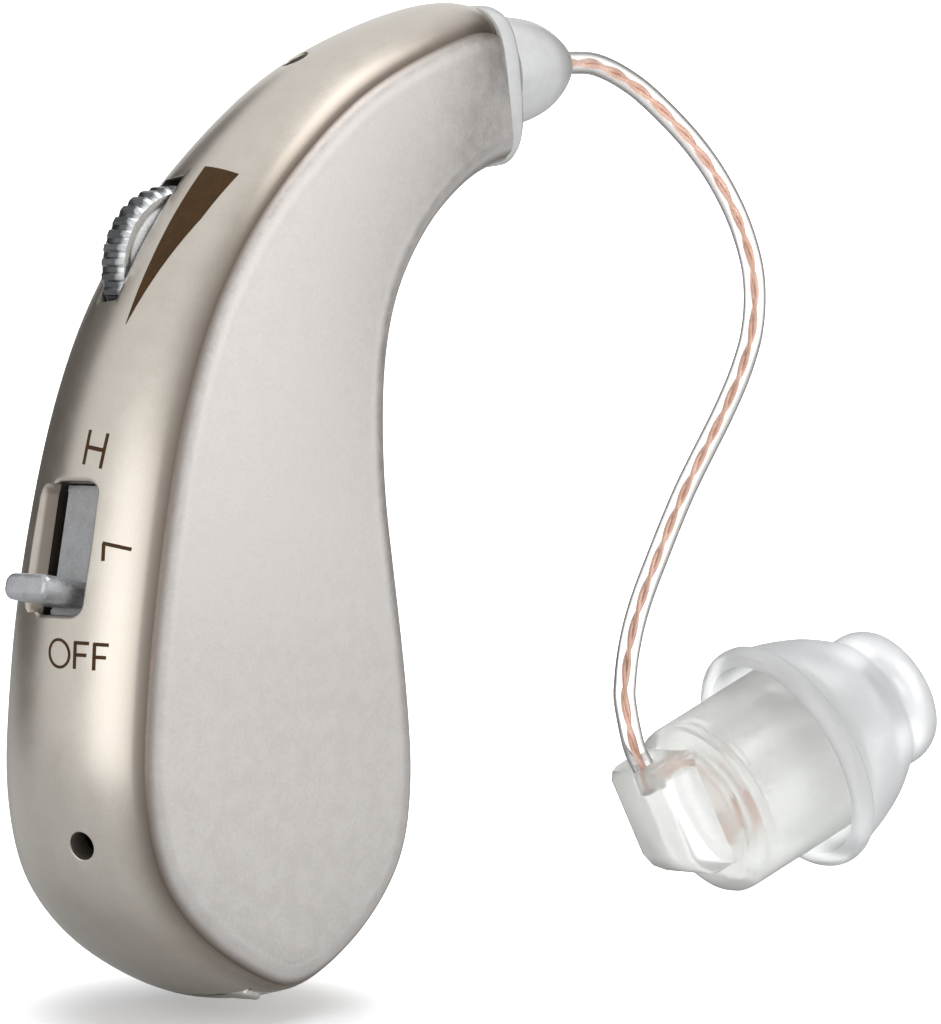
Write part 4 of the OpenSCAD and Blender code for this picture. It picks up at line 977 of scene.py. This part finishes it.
# %% Tip
tip_outer = spline([(5.36, 5.45), (5.6, 5.5), (5.72, 5.72), (5.74, 6.0), (5.66, 6.3), (5.46, 6.46),
                    (5.4, 6.7), (5.3, 7.1), (5.0, 8.05), (4.5, 9.25), (3.85, 10.3), (3.42, 10.85),
                    (3.36, 11.1), (3.42, 11.5), (3.36, 12.1), (3.05, 12.7), (2.5, 13.05), (1.8, 13.15),
                    (0.9, 13.12)], 6)
tip_inner = [(0.75, 13.0), (0.75, 12.62), (1.53, 12.62), (1.53, 7.82), (2.33, 7.82), (2.33, 10.1),
             (2.85, 10.1), (3.6, 9.4), (4.05, 8.9), (4.52, 8.0), (4.86, 7.05), (4.9, 6.5), (4.85, 5.9),
             (4.95, 5.55)]
points, faces = turned(np.vstack([tip_outer, tip_inner]), 128, at_receiver)
tip = place(solid("silicone_tip", points, faces), "ear_tip", "tip_silicone", "ear_tip")

# %% [markdown]
# ## Light and floor
# A plain studio: a pale floor, an even world, and three soft lamps. The background is white because the world
# and the floor add light for camera and transmission rays, and the world for glossy rays too, so the light
# that falls on the object stays plain. The floor's added light is weaker near the foot of the case, a painted
# shadow that darkens the case's shadow, and stronger further away, painted light that washes out other
# shadows such as the receiver's.
#
# Two cards stand where only reflections see them. The dark one behind the case gives the spine its brown left
# edge, and the one in front of the case darkens the panel's front edge.


# %% Light
def white_for_view(tree, shader_out, extra_out, target, glossy):
    """Shows camera, transmission and, if asked, glossy rays another shader than the plain one."""
    path = tree.nodes.new("ShaderNodeLightPath")
    seen = path.outputs["Is Camera Ray"]
    for kind in ("Is Glossy Ray", "Is Transmission Ray") if glossy else ("Is Transmission Ray",):
        either = tree.nodes.new("ShaderNodeMath")
        either.operation = "MAXIMUM"
        tree.links.new(seen, either.inputs[0])
        tree.links.new(path.outputs[kind], either.inputs[1])
        seen = either.outputs[0]
    mix = tree.nodes.new("ShaderNodeMixShader")
    tree.links.new(seen, mix.inputs[0])
    tree.links.new(shader_out, mix.inputs[1])
    tree.links.new(extra_out, mix.inputs[2])
    tree.links.new(mix.outputs[0], target)


world = bpy.data.worlds.new("studio")
bpy.context.scene.world = world
world.use_nodes = True
tree = world.node_tree
soft = tree.nodes["Background"]
soft.inputs["Color"].default_value = (0.95, 0.97, 1.0, 1)
soft.inputs["Strength"].default_value = 0.42
bright = tree.nodes.new("ShaderNodeBackground")
bright.inputs["Color"].default_value = (1, 1, 1, 1)
bright.inputs["Strength"].default_value = 1.0
white_for_view(tree, soft.outputs[0], bright.outputs[0], tree.nodes["World Output"].inputs["Surface"], True)
centre = np.array([0, 0, -13.0])


def lamp(name, place_mm, size, power):
    """A square soft lamp at a place, turned to look at the middle of the object."""
    data = bpy.data.lights.new(name, "AREA")
    data.size, data.energy = size * MM, power
    thing = bpy.data.objects.new(name, data)
    thing.location = Vector(place_mm) * MM
    thing.rotation_euler = Vector(centre - place_mm).to_track_quat("-Z", "Y").to_euler()
    bpy.context.scene.collection.objects.link(thing)


lamp("key", (-470, -40, 30), 320, 0.42)
lamp("fill", (260, -420, 120), 300, 0.3)
lamp("top", (70, -170, 400), 260, 0.7)

# %% Floor and cards
floor_under, floor_half = np.array([-10.0, 0.0, -35.0]), 1500
tilt = math.radians(8)
# Painted shadow and light on the floor: the glow that the camera sees is weak near the foot and strong
# beyond.
painted_shadow_from, painted_shadow_to, painted_shadow_glow, painted_light_glow = 5, 14, 0.28, 1.2
floor_up = np.array([*(-math.sin(tilt) * np.array(camera_way)[:2]), math.cos(tilt)])
floor_x = np.cross([0, 1, 0], floor_up)
floor_x /= np.linalg.norm(floor_x)
upright = np.array([0, 0, 1.0])


def sheet_of(name, middle, one, two, half_one, half_two, material, steps=8):
    """A flat grid between two directions, as a stage piece."""
    a, b = np.meshgrid(np.linspace(-half_one, half_one, steps), np.linspace(-half_two, half_two, steps))
    points = middle + a[..., None] * one + b[..., None] * two
    mesh = bpy.data.meshes.new(name)
    mesh.from_pydata((points.reshape(-1, 3) * MM).tolist(), [], grid_faces(steps, steps, close_columns=False))
    mesh.materials.append(material)
    thing = bpy.data.objects.new(name, mesh)
    bpy.context.scene.collection.objects.link(thing)
    return thing


paper = finish("paper", "grain", 900, 30, grey(0.86), grey(0.88), (0.7, 0.8), 0.01)
sheet_of("floor", floor_under, floor_x, np.cross(floor_up, floor_x), floor_half, floor_half, paper)
tree = paper.node_tree
plain_paper = tree.nodes["Principled BSDF"].outputs[0]
floor_place = tree.nodes.new("ShaderNodeTexCoord")
reach = tree.nodes.new("ShaderNodeVectorMath")
reach.operation = "DISTANCE"
reach.inputs[1].default_value = tuple(floor_under * MM)
tree.links.new(floor_place.outputs["Object"], reach.inputs[0])
glow = tree.nodes.new("ShaderNodeEmission")
strength = ranged(tree, reach.outputs["Value"], painted_shadow_from * MM, painted_shadow_to * MM, painted_shadow_glow, painted_light_glow)
tree.links.new(strength, glow.inputs["Strength"])
both = tree.nodes.new("ShaderNodeAddShader")
tree.links.new(plain_paper, both.inputs[0])
tree.links.new(glow.outputs[0], both.inputs[1])
white_for_view(tree, plain_paper, both.outputs[0], tree.nodes["Material Output"].inputs["Surface"], False)

black_card = finish("black_flag", "grain", 3000, 100, (0.035, 0.022, 0.012), (0.05, 0.035, 0.02),
                    (0.8, 0.9), 0.01)
brown_card = finish("brown_flag", "grain", 3000, 100, (0.1, 0.075, 0.055), (0.13, 0.1, 0.075),
                    (0.8, 0.9), 0.01)
for name, foot, way, away, half_width, half_height, material in (
        ("flag", (-15, 0, -13), (-0.02, 1.0, 0.02), 160, 78, 150, black_card),
        ("side_flag", (0, 0, -13), (0.998, 0.02, -0.05), 200, 105, 200, brown_card)):
    card_at, across = foot + away * np.array(way), np.cross(way, upright)
    card = sheet_of(name, card_at, across, upright, half_width, half_height, material)
    card.visible_camera = card.visible_transmission = card.visible_shadow = card.visible_diffuse = False

bpy.context.scene.view_settings.view_transform = "Standard"
